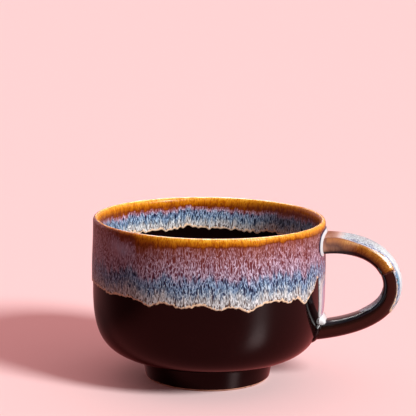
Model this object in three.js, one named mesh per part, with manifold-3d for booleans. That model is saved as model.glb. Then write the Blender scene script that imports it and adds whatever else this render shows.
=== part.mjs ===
// A wide stoneware coffee mug on a turned foot ring, with a loop handle and two dipped glazes.
// The clay pieces are a turned bowl, a turned foot and a pulled strap handle luted on with slip.
// Over them lie the glaze coats: a dark base coat, and a thicker second coat on the upper part
// that ran down to a wavy drip edge and broke to amber over the lip.
// Millimetres, +Z up. The mug is built about its own axis, with the handle towards +X, and then
// set so that the origin lies on the table under the middle of its box.

import * as THREE from 'three';
import { mergeVertices } from 'three/addons/utils/BufferGeometryUtils.js';
import Module from 'manifold-3d';

const wasm = await Module();
wasm.setup();

// Bowl, outside, measured over the glaze
const MUG_HEIGHT = 73;
const WALL_RADIUS = 52;
const BELLY_TOP = 40;
const BELLY_RISE_DEG = 10;
const BELLY_LOW_PULL = 14.3;
const BELLY_HIGH_PULL = 25;

// Bowl, inside, measured over the glaze
const FLOOR_HEIGHT = 15;
const FLOOR_FLAT_RADIUS = 22;
const WALL_THICKNESS = 4.4;
const INSIDE_RADIUS = WALL_RADIUS - WALL_THICKNESS;
const INSIDE_TOP = 41;
const INSIDE_LOW_PULL = 18;
const INSIDE_HIGH_PULL = 22;

// Lip: a small quarter ellipse outside and a larger one inside
const LIP_OUTER_WIDTH = 1.2;
const LIP_OUTER_DROP = 1.6;
const LIP_INNER_WIDTH = 1.6;
const LIP_INNER_DROP = 2.6;

// Foot ring
const FOOT_HEIGHT = 9.7;
const FOOT_TOP_RADIUS = 29.9;
const FOOT_BASE_RADIUS = 28;
const FOOT_INNER_RADIUS = 24;
const FOOT_CHAMFER = 0.6;
const BARE_EDGE = 1;

// Handle: centre line of the strap, and its section over the glaze
const HANDLE_TOP_DROP = 9.8;
const HANDLE_TOP_HEIGHT = MUG_HEIGHT - HANDLE_TOP_DROP;
const HANDLE_TOP_RISE_DEG = 7;
const HANDLE_TOP_PULL = 28;
const HANDLE_LOW_HEIGHT = 23.2;
const HANDLE_REACH = 30.8;
const HANDLE_BULGE_SHARE = 0.5575;
const HANDLE_UPPER_PULL = 7.4;
const HANDLE_LOWER_PULL = 10;
const HANDLE_LOW_RISE_DEG = 7.5;
const HANDLE_LOW_PULL = 26;
const HANDLE_THICK_TOP = 9.2;
const HANDLE_THICK_MIDDLE = 8.1;
const HANDLE_THICK_LOW = 8.4;
const HANDLE_WIDTH_TOP = 11.5;
const HANDLE_WIDTH_LOW = 13.5;
const HANDLE_ROOT_SPREAD = 3;
const HANDLE_ROOT_BLEND = 9;
const HANDLE_SQUARENESS = 2.6;
const HANDLE_TOP_ROOT = 4;
const HANDLE_LOW_ROOT = 6;

// Collars of slip where the handle is luted to the wall
const UPPER_COLLAR = { height: 2.4, flare: 2.2, edge: 0.5 };
const LOWER_COLLAR = { height: 1.8, flare: 0.9, edge: 0.4 };
const PLUG_LENGTH = 6;

// Glaze coats
const COAT = 0.5;
const EDGE_COAT = 0.25;
const CLEARANCE = 0.3;
const RUN_PROUD = 0.5;
const RUN_ROLL = 0.85;
const RIM_OUTSIDE = 1.9;
const RIM_INSIDE = 5.5;

// Drip edge outside: a level line, drips below it, and the wide run under the handle
const BAND_WIDTH = 28.3;
const DRIP_LINE = MUG_HEIGHT - BAND_WIDTH;
const DRIPS = [
  { at: -170, drop: 1.4, width: 6 },
  { at: -136, drop: 0.9, width: 5 },
  { at: -110, drop: 2.2, width: 5 },
  { at: -93, drop: 1.9, width: 6 },
  { at: -76, drop: 2.3, width: 5 },
  { at: -62, drop: 3.3, width: 6 },
  { at: -39.5, drop: 1.6, width: 4 },
  { at: -28, drop: 3.9, width: 4 },
  { at: 31, drop: 3.4, width: 4 },
  { at: 52, drop: 1.8, width: 6 },
  { at: 74, drop: 2.9, width: 5 },
  { at: 97, drop: 1.5, width: 6 },
  { at: 118, drop: 2.6, width: 5 },
  { at: 146, drop: 1.7, width: 6 },
];
const RUN_HALF_ANGLE = 11.5;
const RUN_EDGE_ANGLE = 1.6;
const RUN_ABOVE_JOINT = 7.5;
const RUN_END = HANDLE_LOW_HEIGHT + RUN_ABOVE_JOINT;
const NOTCH_ANGLE = 14.8;
const NOTCH_RISE = 5.6;
const NOTCH_WIDTH = 4;

// Drip edge inside: a level line below the rim with two slow waves
const INSIDE_BAND = 15;
const INSIDE_WAVES = [
  { height: 0.8, count: 9, phase: 0.4 },
  { height: 0.5, count: 17, phase: 1.9 },
];

// Where the second coat stops on the handle, as lengths along the strap
const HANDLE_BREAK = 36.5;
const TONGUE_OUTSIDE = 18;
const TONGUE_INSIDE = 29;

// Bead of glaze pooled above the lower joint
const POOL_RADIAL = 2.4;
const POOL_SIDE = 9.5;
const POOL_UP = 2.2;

// Fineness of the facets
const TURNED_SEGMENTS = 44;
const INSIDE_COLUMNS = 44;
const COARSE_STEP_DEG = 5;
const FINE_STEP_DEG = 2.5;
const FINE_HALF_ANGLE = 30;
const CURVE_STEPS = 6;
const LIP_STEPS = 3;
const SECTION_SIDES = 14;
const STRAP_RINGS = 26;
const COLLAR_RINGS = 3;
const RUN_ROWS = [0, 0.4, 0.7, 0.9, 1];
const INSIDE_ROWS = [0, 0.5, 0.85, 1];
const WELD = 1e-4;

const { degToRad, smoothstep } = THREE.MathUtils;
const SKIN = COAT + CLEARANCE;

// Profiles in the plane of radius and height

const flat = (radius, height) => new THREE.Vector2(radius, height);

function heading(degrees, length) {
  return flat(Math.cos(degToRad(degrees)) * length, Math.sin(degToRad(degrees)) * length);
}

// A quarter ellipse from one end of its corner to the other
function quarter(centre, width, drop, from, to) {
  return Array.from({ length: LIP_STEPS + 1 }, (_, i) => {
    const angle = degToRad(THREE.MathUtils.lerp(from, to, i / LIP_STEPS));
    return flat(centre.x + width * Math.cos(angle), centre.y + drop * Math.sin(angle));
  });
}

// Moves a line sideways, to the left of its direction, keeping its corners mitred
function offset(line, distance) {
  return line.map((point, i) => {
    const before = line[Math.max(i - 1, 0)];
    const after = line[Math.min(i + 1, line.length - 1)];
    const into = point.clone().sub(before).normalize();
    const out = after.clone().sub(point).normalize();
    if (i === 0) into.copy(out);
    if (i === line.length - 1) out.copy(into);
    const left = flat(-into.y - out.y, into.x + out.x);
    return point.clone().addScaledVector(left, distance / (1 + into.dot(out)));
  });
}

// Radius of a rising line at a height
function radiusAt(line, height) {
  const last = line.length - 1;
  let i = 1;
  while (i < last && line[i].y < height) i += 1;
  const [a, b] = [line[i - 1], line[i]];
  return THREE.MathUtils.mapLinear(height, a.y, b.y, a.x, b.x);
}

const footCorner = flat(FOOT_TOP_RADIUS, FOOT_HEIGHT);
const bellyEnd = flat(WALL_RADIUS, BELLY_TOP);
const belly = new THREE.CubicBezierCurve(
  footCorner,
  footCorner.clone().add(heading(BELLY_RISE_DEG, BELLY_LOW_PULL)),
  flat(WALL_RADIUS, BELLY_TOP - BELLY_HIGH_PULL),
  bellyEnd,
);
const footLean = (FOOT_TOP_RADIUS - FOOT_BASE_RADIUS) / FOOT_HEIGHT;
const footSideAt = (height) => flat(FOOT_BASE_RADIUS + footLean * height, height);

const lipCrest = WALL_RADIUS - LIP_OUTER_WIDTH;
const lipOuterCentre = flat(lipCrest, MUG_HEIGHT - LIP_OUTER_DROP);
const lipInnerCentre = flat(lipCrest, MUG_HEIGHT - LIP_INNER_DROP);
const lipOutside = quarter(lipOuterCentre, LIP_OUTER_WIDTH, LIP_OUTER_DROP, 0, 90);
const lipInside = quarter(lipInnerCentre, LIP_INNER_WIDTH, LIP_INNER_DROP, 90, 180);
const lipInnerEnd = lipInside[LIP_STEPS];

const insideLean = flat(lipInnerEnd.x - INSIDE_RADIUS, lipInnerEnd.y - INSIDE_TOP).normalize();
const insideEnd = flat(INSIDE_RADIUS, INSIDE_TOP);
const insideStart = flat(FLOOR_FLAT_RADIUS, FLOOR_HEIGHT);
const insideBend = new THREE.CubicBezierCurve(
  insideStart,
  flat(FLOOR_FLAT_RADIUS + INSIDE_LOW_PULL, FLOOR_HEIGHT),
  insideEnd.clone().addScaledVector(insideLean, -INSIDE_HIGH_PULL),
  insideEnd,
);

const bellyLine = belly.getPoints(CURVE_STEPS);
const outsideLine = [...bellyLine, ...lipOutside];
const insideLine = [flat(0, FLOOR_HEIGHT), ...insideBend.getPoints(CURVE_STEPS), lipInnerEnd];

// Solids

function outward(geometry) {
  const position = geometry.getAttribute('position');
  const index = geometry.getIndex();
  const corner = [0, 1, 2].map(() => new THREE.Vector3());
  const kept = [];
  let volume = 0;
  for (let i = 0; i < index.count; i += 3) {
    const ids = [index.getX(i), index.getX(i + 1), index.getX(i + 2)];
    if (new Set(ids).size < 3) continue;
    ids.forEach((id, k) => corner[k].fromBufferAttribute(position, id));
    volume += corner[0].dot(corner[1].clone().cross(corner[2]));
    kept.push(...ids);
  }
  if (volume < 0) kept.reverse();
  geometry.setIndex(kept);
  return geometry;
}

function closed(geometry) {
  geometry.deleteAttribute('normal');
  geometry.deleteAttribute('uv');
  return outward(mergeVertices(geometry, WELD));
}

function fromArrays(vertices, triangles) {
  const geometry = new THREE.BufferGeometry();
  geometry.setAttribute('position', new THREE.Float32BufferAttribute(vertices, 3));
  geometry.setIndex(triangles);
  return geometry;
}

// Turns a closed profile about the mug's axis
function turned(profile) {
  const lathe = new THREE.LatheGeometry([...profile, profile[0]], TURNED_SEGMENTS);
  return closed(lathe.rotateX(Math.PI / 2));
}

// A closed wall between two grids of points; each row of a grid runs all the way round
function walled(front, back) {
  const rows = front.length;
  const columns = front[0].length;
  const vertices = [...front, ...back].flat().flatMap((point) => point.toArray());
  const id = (side, row, column) => (side * rows + row) * columns + (column % columns);
  const triangles = [];
  const quad = (a, b, c, d) => triangles.push(a, b, c, a, c, d);
  for (let c = 0; c < columns; c += 1) {
    for (let r = 0; r + 1 < rows; r += 1) {
      quad(id(0, r, c), id(0, r, c + 1), id(0, r + 1, c + 1), id(0, r + 1, c));
      quad(id(1, r, c), id(1, r + 1, c), id(1, r + 1, c + 1), id(1, r, c + 1));
    }
    quad(id(0, 0, c), id(1, 0, c), id(1, 0, c + 1), id(0, 0, c + 1));
    const end = rows - 1;
    quad(id(0, end, c), id(0, end, c + 1), id(1, end, c + 1), id(1, end, c));
  }
  return closed(fromArrays(vertices, triangles));
}

function solidOf(geometry) {
  return new wasm.Manifold(new wasm.Mesh({
    numProp: 3,
    vertProperties: new Float32Array(geometry.getAttribute('position').array),
    triVerts: new Uint32Array(geometry.getIndex().array),
  }));
}

function cut(geometry, ...tools) {
  const solid = tools.reduce((rest, tool) => rest.subtract(solidOf(tool)), solidOf(geometry));
  const mesh = solid.getMesh();
  return fromArrays(Array.from(mesh.vertProperties), Array.from(mesh.triVerts));
}

// Rings round the axis

function round(azimuthDeg, point) {
  const angle = degToRad(azimuthDeg);
  return new THREE.Vector3(point.x * Math.cos(angle), point.x * Math.sin(angle), point.y);
}

function outsideAzimuths() {
  const list = [];
  let azimuth = -180;
  while (azimuth < 180) {
    list.push(azimuth);
    const near = azimuth >= -FINE_HALF_ANGLE && azimuth < FINE_HALF_ANGLE;
    azimuth += near ? FINE_STEP_DEG : COARSE_STEP_DEG;
  }
  return list;
}

const OUTSIDE_AZIMUTHS = outsideAzimuths();
const INSIDE_AZIMUTHS = Array.from({ length: INSIDE_COLUMNS }, (_, i) => (360 * i) / INSIDE_COLUMNS);

function outsideEdge(azimuth) {
  const away = Math.abs(azimuth);
  const bell = (distance, width) => Math.exp(-((distance / width) ** 2));
  const drips = DRIPS.map((drip) => drip.drop * bell(azimuth - drip.at, drip.width));
  const notch = NOTCH_RISE * bell(away - NOTCH_ANGLE, NOTCH_WIDTH);
  const inRun = 1 - smoothstep(away, RUN_HALF_ANGLE - RUN_EDGE_ANGLE, RUN_HALF_ANGLE + RUN_EDGE_ANGLE);
  const free = DRIP_LINE - drips.reduce((sum, drop) => sum + drop, 0) + notch;
  return THREE.MathUtils.lerp(free, RUN_END, inRun);
}

function insideEdge(azimuth) {
  const angle = degToRad(azimuth);
  const rises = INSIDE_WAVES.map((wave) => wave.height * Math.sin(wave.count * angle + wave.phase));
  return MUG_HEIGHT - INSIDE_BAND + rises.reduce((sum, rise) => sum + rise, 0);
}

// Height of the gap under a sloping edge that leaves the clearance square to the edge
function edgeGap(edge, azimuth, radius) {
  const rise = edge(azimuth + FINE_STEP_DEG) - edge(azimuth - FINE_STEP_DEG);
  const slope = rise / (2 * degToRad(FINE_STEP_DEG) * radius);
  return CLEARANCE * Math.hypot(1, slope);
}

// Clay bowl and foot

const clayBottom = offset(bellyLine, SKIN)[0];

function makeBowl() {
  const outer = offset(outsideLine, SKIN);
  const lip = offset([...lipOutside, ...lipInside.slice(1)], SKIN).slice(LIP_STEPS + 1);
  const inner = offset(insideLine, -SKIN).reverse();
  return turned([flat(0, clayBottom.y), ...outer, ...lip, ...inner.slice(1)]);
}

function makeFoot() {
  const top = clayBottom.y - CLEARANCE;
  const side = offset([footSideAt(0), footSideAt(top)], SKIN);
  const topRadius = footSideAt(top).x + side[0].x - FOOT_BASE_RADIUS;
  return turned([
    flat(FOOT_INNER_RADIUS, top),
    flat(FOOT_INNER_RADIUS, FOOT_CHAMFER),
    flat(FOOT_INNER_RADIUS + FOOT_CHAMFER, 0),
    flat(side[0].x - FOOT_CHAMFER, 0),
    flat(side[0].x, FOOT_CHAMFER),
    flat(topRadius, top),
  ]);
}

// Handle: a strap of superellipse section swept along two joined curves in the plane y = 0

const bulgeHeight = THREE.MathUtils.lerp(HANDLE_LOW_HEIGHT, HANDLE_TOP_HEIGHT, HANDLE_BULGE_SHARE);
const bulge = flat(WALL_RADIUS + HANDLE_REACH, bulgeHeight);
const strapStart = flat(WALL_RADIUS - HANDLE_TOP_ROOT, HANDLE_TOP_HEIGHT);
const strapEnd = flat(WALL_RADIUS - HANDLE_LOW_ROOT, HANDLE_LOW_HEIGHT);
const strap = new THREE.CurvePath();
strap.add(new THREE.CubicBezierCurve(
  strapStart,
  strapStart.clone().add(heading(HANDLE_TOP_RISE_DEG, HANDLE_TOP_PULL)),
  bulge.clone().add(flat(0, HANDLE_UPPER_PULL)),
  bulge,
));
strap.add(new THREE.CubicBezierCurve(
  bulge,
  bulge.clone().sub(flat(0, HANDLE_LOWER_PULL)),
  strapEnd.clone().add(heading(HANDLE_LOW_RISE_DEG, HANDLE_LOW_PULL)),
  strapEnd,
));
const strapLength = strap.getLength();
const STRAP_LENGTHS = Array.from({ length: STRAP_RINGS + 1 }, (_, i) => (strapLength * i) / STRAP_RINGS);

// Half thickness passes through its top, middle and low values; half width tapers evenly from a spread
// root at the upper end
function strapHalves(share) {
  const ends = THREE.MathUtils.lerp(HANDLE_THICK_TOP, HANDLE_THICK_LOW, share);
  const dip = HANDLE_THICK_MIDDLE - (HANDLE_THICK_TOP + HANDLE_THICK_LOW) / 2;
  const width = THREE.MathUtils.lerp(HANDLE_WIDTH_TOP, HANDLE_WIDTH_LOW, share);
  const fromWall = share * strapLength - HANDLE_TOP_ROOT;
  const root = THREE.MathUtils.clamp(1 - fromWall / HANDLE_ROOT_BLEND, 0, 1);
  return [(ends + dip * 4 * share * (1 - share)) / 2, (width + HANDLE_ROOT_SPREAD * root ** 2) / 2];
}

// A point of the strap's surface, grown outwards by an amount; angle 0 is the outer face
function strapPoint(length, angle, grown) {
  const share = THREE.MathUtils.clamp(length / strapLength, 0, 1);
  const centre = strap.getPointAt(share);
  const along = strap.getTangentAt(share);
  const [thick, wide] = strapHalves(share);
  const bent = (value) => Math.sign(value) * Math.abs(value) ** (2 / HANDLE_SQUARENESS);
  const outwards = (thick + grown) * bent(Math.cos(angle));
  const across = (wide + grown) * bent(Math.sin(angle));
  return new THREE.Vector3(centre.x - along.y * outwards, across, centre.y + along.x * outwards);
}

const sectionStep = (2 * Math.PI) / SECTION_SIDES;
const SECTION_ANGLES = Array.from({ length: SECTION_SIDES }, (_, i) => (i + 0.5) * sectionStep);

// A solid length of strap with flat ends; the amount grown may change along it
function strapSolid(from, to, rings, grownAt) {
  const lengths = Array.from({ length: rings + 1 }, (_, i) => THREE.MathUtils.lerp(from, to, i / rings));
  const ring = (length, grown) => SECTION_ANGLES.map((angle) => strapPoint(length, angle, grown));
  const skin = lengths.map((length, i) => ring(length, grownAt(i / rings)));
  const vertices = skin.flat().flatMap((point) => point.toArray());
  const triangles = [];
  for (let r = 0; r < rings; r += 1) {
    for (let s = 0; s < SECTION_SIDES; s += 1) {
      const next = (s + 1) % SECTION_SIDES;
      const [a, b] = [r * SECTION_SIDES + s, r * SECTION_SIDES + next];
      triangles.push(a, b, b + SECTION_SIDES, a, b + SECTION_SIDES, a + SECTION_SIDES);
    }
  }
  const last = rings * SECTION_SIDES;
  for (let s = 1; s + 1 < SECTION_SIDES; s += 1) {
    triangles.push(0, s + 1, s, last, last + s, last + s + 1);
  }
  return outward(fromArrays(vertices, triangles));
}

// The bowl's outer clay, and the same over its coats, as solid tools for trimming what meets it
function bowlTool(inwards) {
  const line = offset(outsideLine, inwards);
  const top = line[line.length - 1];
  return turned([flat(0, line[0].y), ...line, flat(0, top.y)]);
}

const clayTool = bowlTool(COAT);
const coatTool = bowlTool(-RUN_PROUD - CLEARANCE);

// Length along the strap at which its centre line leaves the wall
function wallCrossing(fromEnd) {
  let length = 0;
  const outside = (at) => {
    const point = strap.getPointAt(at / strapLength);
    return point.x > radiusAt(outsideLine, point.y);
  };
  const step = CLEARANCE / 2;
  while (!outside(fromEnd ? strapLength - length : length)) length += step;
  return length;
}

const upperRoot = wallCrossing(false);
const lowerRoot = strapLength - wallCrossing(true);
const core = -SKIN;

function makeHandle() {
  return cut(strapSolid(0, strapLength, STRAP_RINGS, () => core), clayTool);
}

// A collar's outline flares towards the wall in a hollow curve; side is its way out from the wall
function collarBlank(size, root, side, extra) {
  const inner = root - side * PLUG_LENGTH;
  const outer = root + side * (size.height + extra);
  const bend = PLUG_LENGTH / (PLUG_LENGTH + size.height);
  const grownAt = (share) => {
    const hollow = (1 - Math.max(0, (share - bend) / (1 - bend))) ** 2;
    return THREE.MathUtils.lerp(size.edge, size.flare, hollow) + extra;
  };
  return strapSolid(inner, outer, COLLAR_RINGS * 2, grownAt);
}

function makeCollar(size, root, side) {
  const hole = strapSolid(0, strapLength, STRAP_RINGS, () => core + CLEARANCE);
  return cut(collarBlank(size, root, side, 0), hole, clayTool);
}

const upperPlug = collarBlank(UPPER_COLLAR, upperRoot, 1, CLEARANCE);
const lowerPlug = collarBlank(LOWER_COLLAR, lowerRoot, -1, CLEARANCE);

// Glaze on the handle: the second coat ends in a tongue on the outer and the inner face

function handleEdge(angle) {
  const facing = Math.cos(angle);
  const tongue = facing > 0 ? TONGUE_OUTSIDE : TONGUE_INSIDE;
  return HANDLE_BREAK + tongue * facing ** 2;
}

// Rows follow the strap's own rings, and stop at the coat's edge, where the coat thins
function sleeve(startAt, endAt) {
  const first = Math.min(...SECTION_ANGLES.map(startAt));
  const last = Math.max(...SECTION_ANGLES.map(endAt));
  const lengths = [first, ...STRAP_LENGTHS.filter((length) => length > first && length < last), last];
  const grid = (depth, edgeDepth) => lengths.map((length) => SECTION_ANGLES.map((angle) => {
    const stopped = THREE.MathUtils.clamp(length, startAt(angle), endAt(angle));
    return strapPoint(stopped, angle, stopped === length ? -depth : -edgeDepth);
  }));
  return walled(grid(0, 0), grid(COAT, EDGE_COAT));
}

function makeHandleRun() {
  const start = upperRoot + UPPER_COLLAR.height + CLEARANCE;
  return sleeve(() => start, handleEdge);
}

function makeHandleBase() {
  const end = lowerRoot - LOWER_COLLAR.height - CLEARANCE;
  const [thick] = strapHalves(HANDLE_BREAK / strapLength);
  const startAt = (angle) => {
    const rise = handleEdge(angle + sectionStep / 2) - handleEdge(angle - sectionStep / 2);
    return handleEdge(angle) + CLEARANCE * Math.hypot(1, rise / (sectionStep * thick));
  };
  return sleeve(startAt, () => end);
}

// Glaze on the outside

// The second coat swells towards its lower edge and rolls in again at the edge itself
function runSwell(share) {
  return RUN_PROUD * Math.sin(Math.PI * RUN_ROLL * share * share);
}

function makeOutsideRun() {
  const top = MUG_HEIGHT - RIM_OUTSIDE - CLEARANCE;
  const behind = offset(outsideLine, COAT);
  const grid = (pointAt) => RUN_ROWS.map((share) => OUTSIDE_AZIMUTHS.map((azimuth) => {
    const height = THREE.MathUtils.lerp(top, outsideEdge(azimuth), share);
    return round(azimuth, flat(pointAt(height, share), height));
  }));
  const front = grid((height, share) => radiusAt(outsideLine, height) + runSwell(share));
  const back = grid((height) => radiusAt(behind, height));
  return cut(walled(front, back), upperPlug, lowerPlug);
}

// Rows follow the profile's own points from its start, and stop at the coat's upper edge
function coatUpTo(profile, azimuths, topAt) {
  const rising = [...profile, flat(profile[profile.length - 1].x, MUG_HEIGHT)];
  return rising.map((point) => azimuths.map((azimuth) => {
    const top = topAt(azimuth);
    return round(azimuth, point.y < top ? point : flat(radiusAt(rising, top), top));
  }));
}

function makeOutsideBase() {
  const line = [footSideAt(BARE_EDGE), ...bellyLine];
  const topAt = (azimuth) => outsideEdge(azimuth) - edgeGap(outsideEdge, azimuth, WALL_RADIUS);
  const front = coatUpTo(line, OUTSIDE_AZIMUTHS, topAt);
  const back = coatUpTo(offset(line, COAT), OUTSIDE_AZIMUTHS, topAt);
  return cut(walled(front, back), lowerPlug);
}

// Glaze on the inside

function makeInsideRun() {
  const top = MUG_HEIGHT - RIM_INSIDE - CLEARANCE;
  const behind = offset(insideLine, -COAT);
  const grid = (pointAt) => INSIDE_ROWS.map((share) => INSIDE_AZIMUTHS.map((azimuth) => {
    const height = THREE.MathUtils.lerp(top, insideEdge(azimuth), share);
    return round(azimuth, flat(pointAt(height, share), height));
  }));
  const front = grid((height, share) => radiusAt(insideLine, height) - runSwell(share));
  const back = grid((height) => radiusAt(behind, height));
  return walled(front, back);
}

function makeInsideBase() {
  const topAt = (azimuth) => insideEdge(azimuth) - edgeGap(insideEdge, azimuth, INSIDE_RADIUS);
  const front = coatUpTo(insideLine, INSIDE_AZIMUTHS, topAt);
  const back = coatUpTo(offset(insideLine, -COAT), INSIDE_AZIMUTHS, topAt);
  return walled(front, back);
}

function makeRim() {
  const outside = flat(WALL_RADIUS, MUG_HEIGHT - RIM_OUTSIDE);
  const low = MUG_HEIGHT - RIM_INSIDE;
  const inside = flat(radiusAt(insideLine, low), low);
  const line = [outside, ...lipOutside, ...lipInside.slice(1), inside];
  return turned([...line, ...offset(line, COAT).reverse()]);
}

function makeUnderside() {
  const top = clayBottom.y - CLEARANCE;
  const radius = FOOT_INNER_RADIUS - CLEARANCE;
  return turned([flat(0, top), flat(0, top - COAT), flat(radius, top - COAT), flat(radius, top)]);
}

// A bead that sits on the lower collar, between the wall and the strap
function makePool() {
  const seat = strap.getPointAt(lowerRoot / strapLength);
  const bead = new THREE.SphereGeometry(1, SECTION_SIDES, SECTION_SIDES / 2);
  bead.rotateX(Math.PI / 2);
  bead.scale(POOL_RADIAL, POOL_SIDE, POOL_UP);
  const height = seat.y + strapHalves(1)[0] + LOWER_COLLAR.edge;
  bead.translate(radiusAt(outsideLine, height) + POOL_RADIAL / 2, 0, height);
  const sleeveTool = strapSolid(0, strapLength, STRAP_RINGS, () => CLEARANCE);
  return cut(closed(bead), coatTool, lowerPlug, sleeveTool);
}

// Finishes

const finish = (color, roughness) => new THREE.MeshStandardMaterial({ color, roughness, metalness: 0 });
const bareClay = () => finish('#d9a184', 0.85);
const darkGlaze = () => finish('#1c0d0b', 0.12);
const streakedGlaze = () => finish('#8f8396', 0.2);
const amberGlaze = () => finish('#c07a1c', 0.15);
const whiteGlaze = () => finish('#e6e6e4', 0.15);

const mug = new THREE.Group();

function add(name, geometry, material) {
  geometry.computeVertexNormals();
  const mesh = new THREE.Mesh(geometry, material);
  mesh.name = name;
  mug.add(mesh);
}

add('cup_body', makeBowl(), bareClay());
add('foot_ring', makeFoot(), bareClay());
add('handle', makeHandle(), bareClay());
add('upper_joint_collar', makeCollar(UPPER_COLLAR, upperRoot, 1), whiteGlaze());
add('lower_joint_collar', makeCollar(LOWER_COLLAR, lowerRoot, -1), darkGlaze());
add('base_glaze_outside', makeOutsideBase(), darkGlaze());
add('base_glaze_inside', makeInsideBase(), darkGlaze());
add('base_glaze_underside', makeUnderside(), darkGlaze());
add('base_glaze_handle', makeHandleBase(), darkGlaze());
add('run_glaze_outside', makeOutsideRun(), streakedGlaze());
add('run_glaze_inside', makeInsideRun(), streakedGlaze());
add('rim_glaze', makeRim(), amberGlaze());
add('run_glaze_handle', makeHandleRun(), amberGlaze());
add('run_glaze_pool', makePool(), whiteGlaze());

const middle = new THREE.Box3().setFromObject(mug, true).getCenter(new THREE.Vector3());
mug.position.set(-middle.x, -middle.y, 0);

export default mug;
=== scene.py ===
"""Dresses the coffee mug: smooth glaze coats, joints and foot over the packed clay, floor, light and camera.

Shapes are worked out in millimetres about the bowl's own axis, with the handle towards +X and +Z up,
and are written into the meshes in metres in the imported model's frame.
Azimuths are in degrees from the handle, negative on the camera's side.
"""

from __future__ import annotations

import logging
import math
from dataclasses import dataclass, field
from enum import Enum
from functools import reduce

import bmesh
import bpy
import numpy as np
from mathutils import Matrix, Vector

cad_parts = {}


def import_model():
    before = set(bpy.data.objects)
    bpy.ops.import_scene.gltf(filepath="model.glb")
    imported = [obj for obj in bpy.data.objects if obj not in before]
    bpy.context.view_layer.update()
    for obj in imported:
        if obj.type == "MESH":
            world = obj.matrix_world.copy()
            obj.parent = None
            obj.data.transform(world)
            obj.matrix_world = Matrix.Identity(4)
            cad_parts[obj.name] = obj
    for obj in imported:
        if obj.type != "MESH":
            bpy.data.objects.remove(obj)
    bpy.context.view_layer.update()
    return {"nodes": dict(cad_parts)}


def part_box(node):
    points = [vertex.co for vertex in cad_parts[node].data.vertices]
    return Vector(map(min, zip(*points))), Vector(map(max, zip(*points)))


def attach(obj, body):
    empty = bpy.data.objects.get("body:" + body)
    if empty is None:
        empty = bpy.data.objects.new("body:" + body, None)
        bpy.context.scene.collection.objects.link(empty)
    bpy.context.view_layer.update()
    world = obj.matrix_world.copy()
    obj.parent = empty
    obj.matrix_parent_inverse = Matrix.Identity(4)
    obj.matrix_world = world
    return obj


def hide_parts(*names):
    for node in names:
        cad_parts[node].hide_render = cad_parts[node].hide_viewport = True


MM = 0.001
BODY = "root"
BACK_STEP = 6
WELD = 0.001 * MM
LOG = logging.getLogger("mug")

Array = np.ndarray
Range = tuple[float, float]
Socket = bpy.types.NodeSocket
Colour = tuple[float, float, float, float]
Stops = tuple[tuple[float, Colour], ...]
Inputs = dict[str | int, Socket | float | tuple]


def shade(red: int, green: int, blue: int) -> Colour:
    """Turns a colour written as screen values 0 to 255 into linear light with full alpha.

    It undoes the screen's standard curve, a short straight foot with a power of 2.4 above it.

    Args:
        red: Red as seen on a screen.
        green: Green as seen on a screen.
        blue: Blue as seen on a screen.

    Returns:
        Linear red, green, blue and alpha.
    """
    screen = np.array([red, green, blue]) / 255.0
    linear = np.where(screen <= 0.04045, screen / 12.92, ((screen + 0.055) / 1.055) ** 2.4)
    return (float(linear[0]), float(linear[1]), float(linear[2]), 1.0)


def ramp(value: Array, low: Array | float, high: Array | float) -> Array:
    """Rises straight from 0 at low to 1 at high and is level beyond them."""
    return np.clip((value - low) / (high - low), 0.0, 1.0)


def ease(value: Array, low: float, high: float) -> Array:
    """Rises from 0 at low to 1 at high along 3t² - 2t³."""
    share = ramp(value, low, high)
    return share * share * (3.0 - 2.0 * share)


def bell(distance: Array, width: float) -> Array:
    """A smooth hump, exp(-(distance / width)²)."""
    return np.exp(-((distance / width) ** 2))


def rolled(near: Array, reach: float) -> Array:
    """Rises from 0 at an edge to 1 at a reach from it along a quarter circle, sqrt(1 - (1 - t)²)."""
    return np.sqrt(1.0 - (1.0 - ramp(near, 0.0, reach)) ** 2)


def bezier(start: Array, pull_a: Array, pull_b: Array, end: Array, count: int) -> Array:
    """Points of a cubic Bezier curve, evenly spaced in its parameter.

    Args:
        start: First end of the curve.
        pull_a: Control point next to the start.
        pull_b: Control point next to the end.
        end: Last end of the curve.
        count: Number of points.

    Returns:
        An array of count points.
    """
    t = np.linspace(0.0, 1.0, count)[:, None]
    u = 1.0 - t
    return u**3 * start + 3 * u**2 * t * pull_a + 3 * u * t**2 * pull_b + t**3 * end


def heading(degrees: float, length: float) -> Array:
    """A step of a length in a direction measured up from the horizontal."""
    angle = math.radians(degrees)
    return np.array([math.cos(angle), math.sin(angle)]) * length


@dataclass(frozen=True)
class Wobble:
    """A seamless wobble round a circle: sines of whole counts with seeded phases.

    Each count n adds n**-fall * sin(n * angle + phase); the sum is scaled to a top of about 1.
    """

    first: int
    below: int
    step: int
    seed: int
    fall: float = 0.3

    def at(self, angle: Array) -> Array:
        """The wobble at each angle.

        Args:
            angle: Angles in radians.

        Returns:
            The wobble, about -1 to 1.
        """
        counts = np.arange(self.first, self.below, self.step)
        phase = np.random.default_rng(self.seed).uniform(0.0, 2.0 * math.pi, counts.size)
        weight = counts.astype(float) ** -self.fall
        waves = np.sin(angle[..., None] * counts + phase) * weight
        return waves.sum(axis=-1) / math.sqrt(float((weight**2).sum()) * 2.0)


@dataclass(frozen=True)
class Hump:
    """A smooth hump: where it stands, how high and how wide it is."""

    at: float
    height: float
    width: float

    def over(self, place: Array) -> Array:
        """Height of the hump at each place."""
        return self.height * bell(place - self.at, self.width)


@dataclass(frozen=True)
class Shift:
    """A change by an amount that comes in smoothly between two places."""

    amount: float
    low: float
    high: float

    def rise(self, place: Array) -> Array:
        """The change where it grows from nothing to the full amount."""
        return self.amount * ease(place, self.low, self.high)

    def fall(self, place: Array) -> Array:
        """The change where it fades from the full amount to nothing."""
        return self.amount * (1.0 - ease(place, self.low, self.high))


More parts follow.
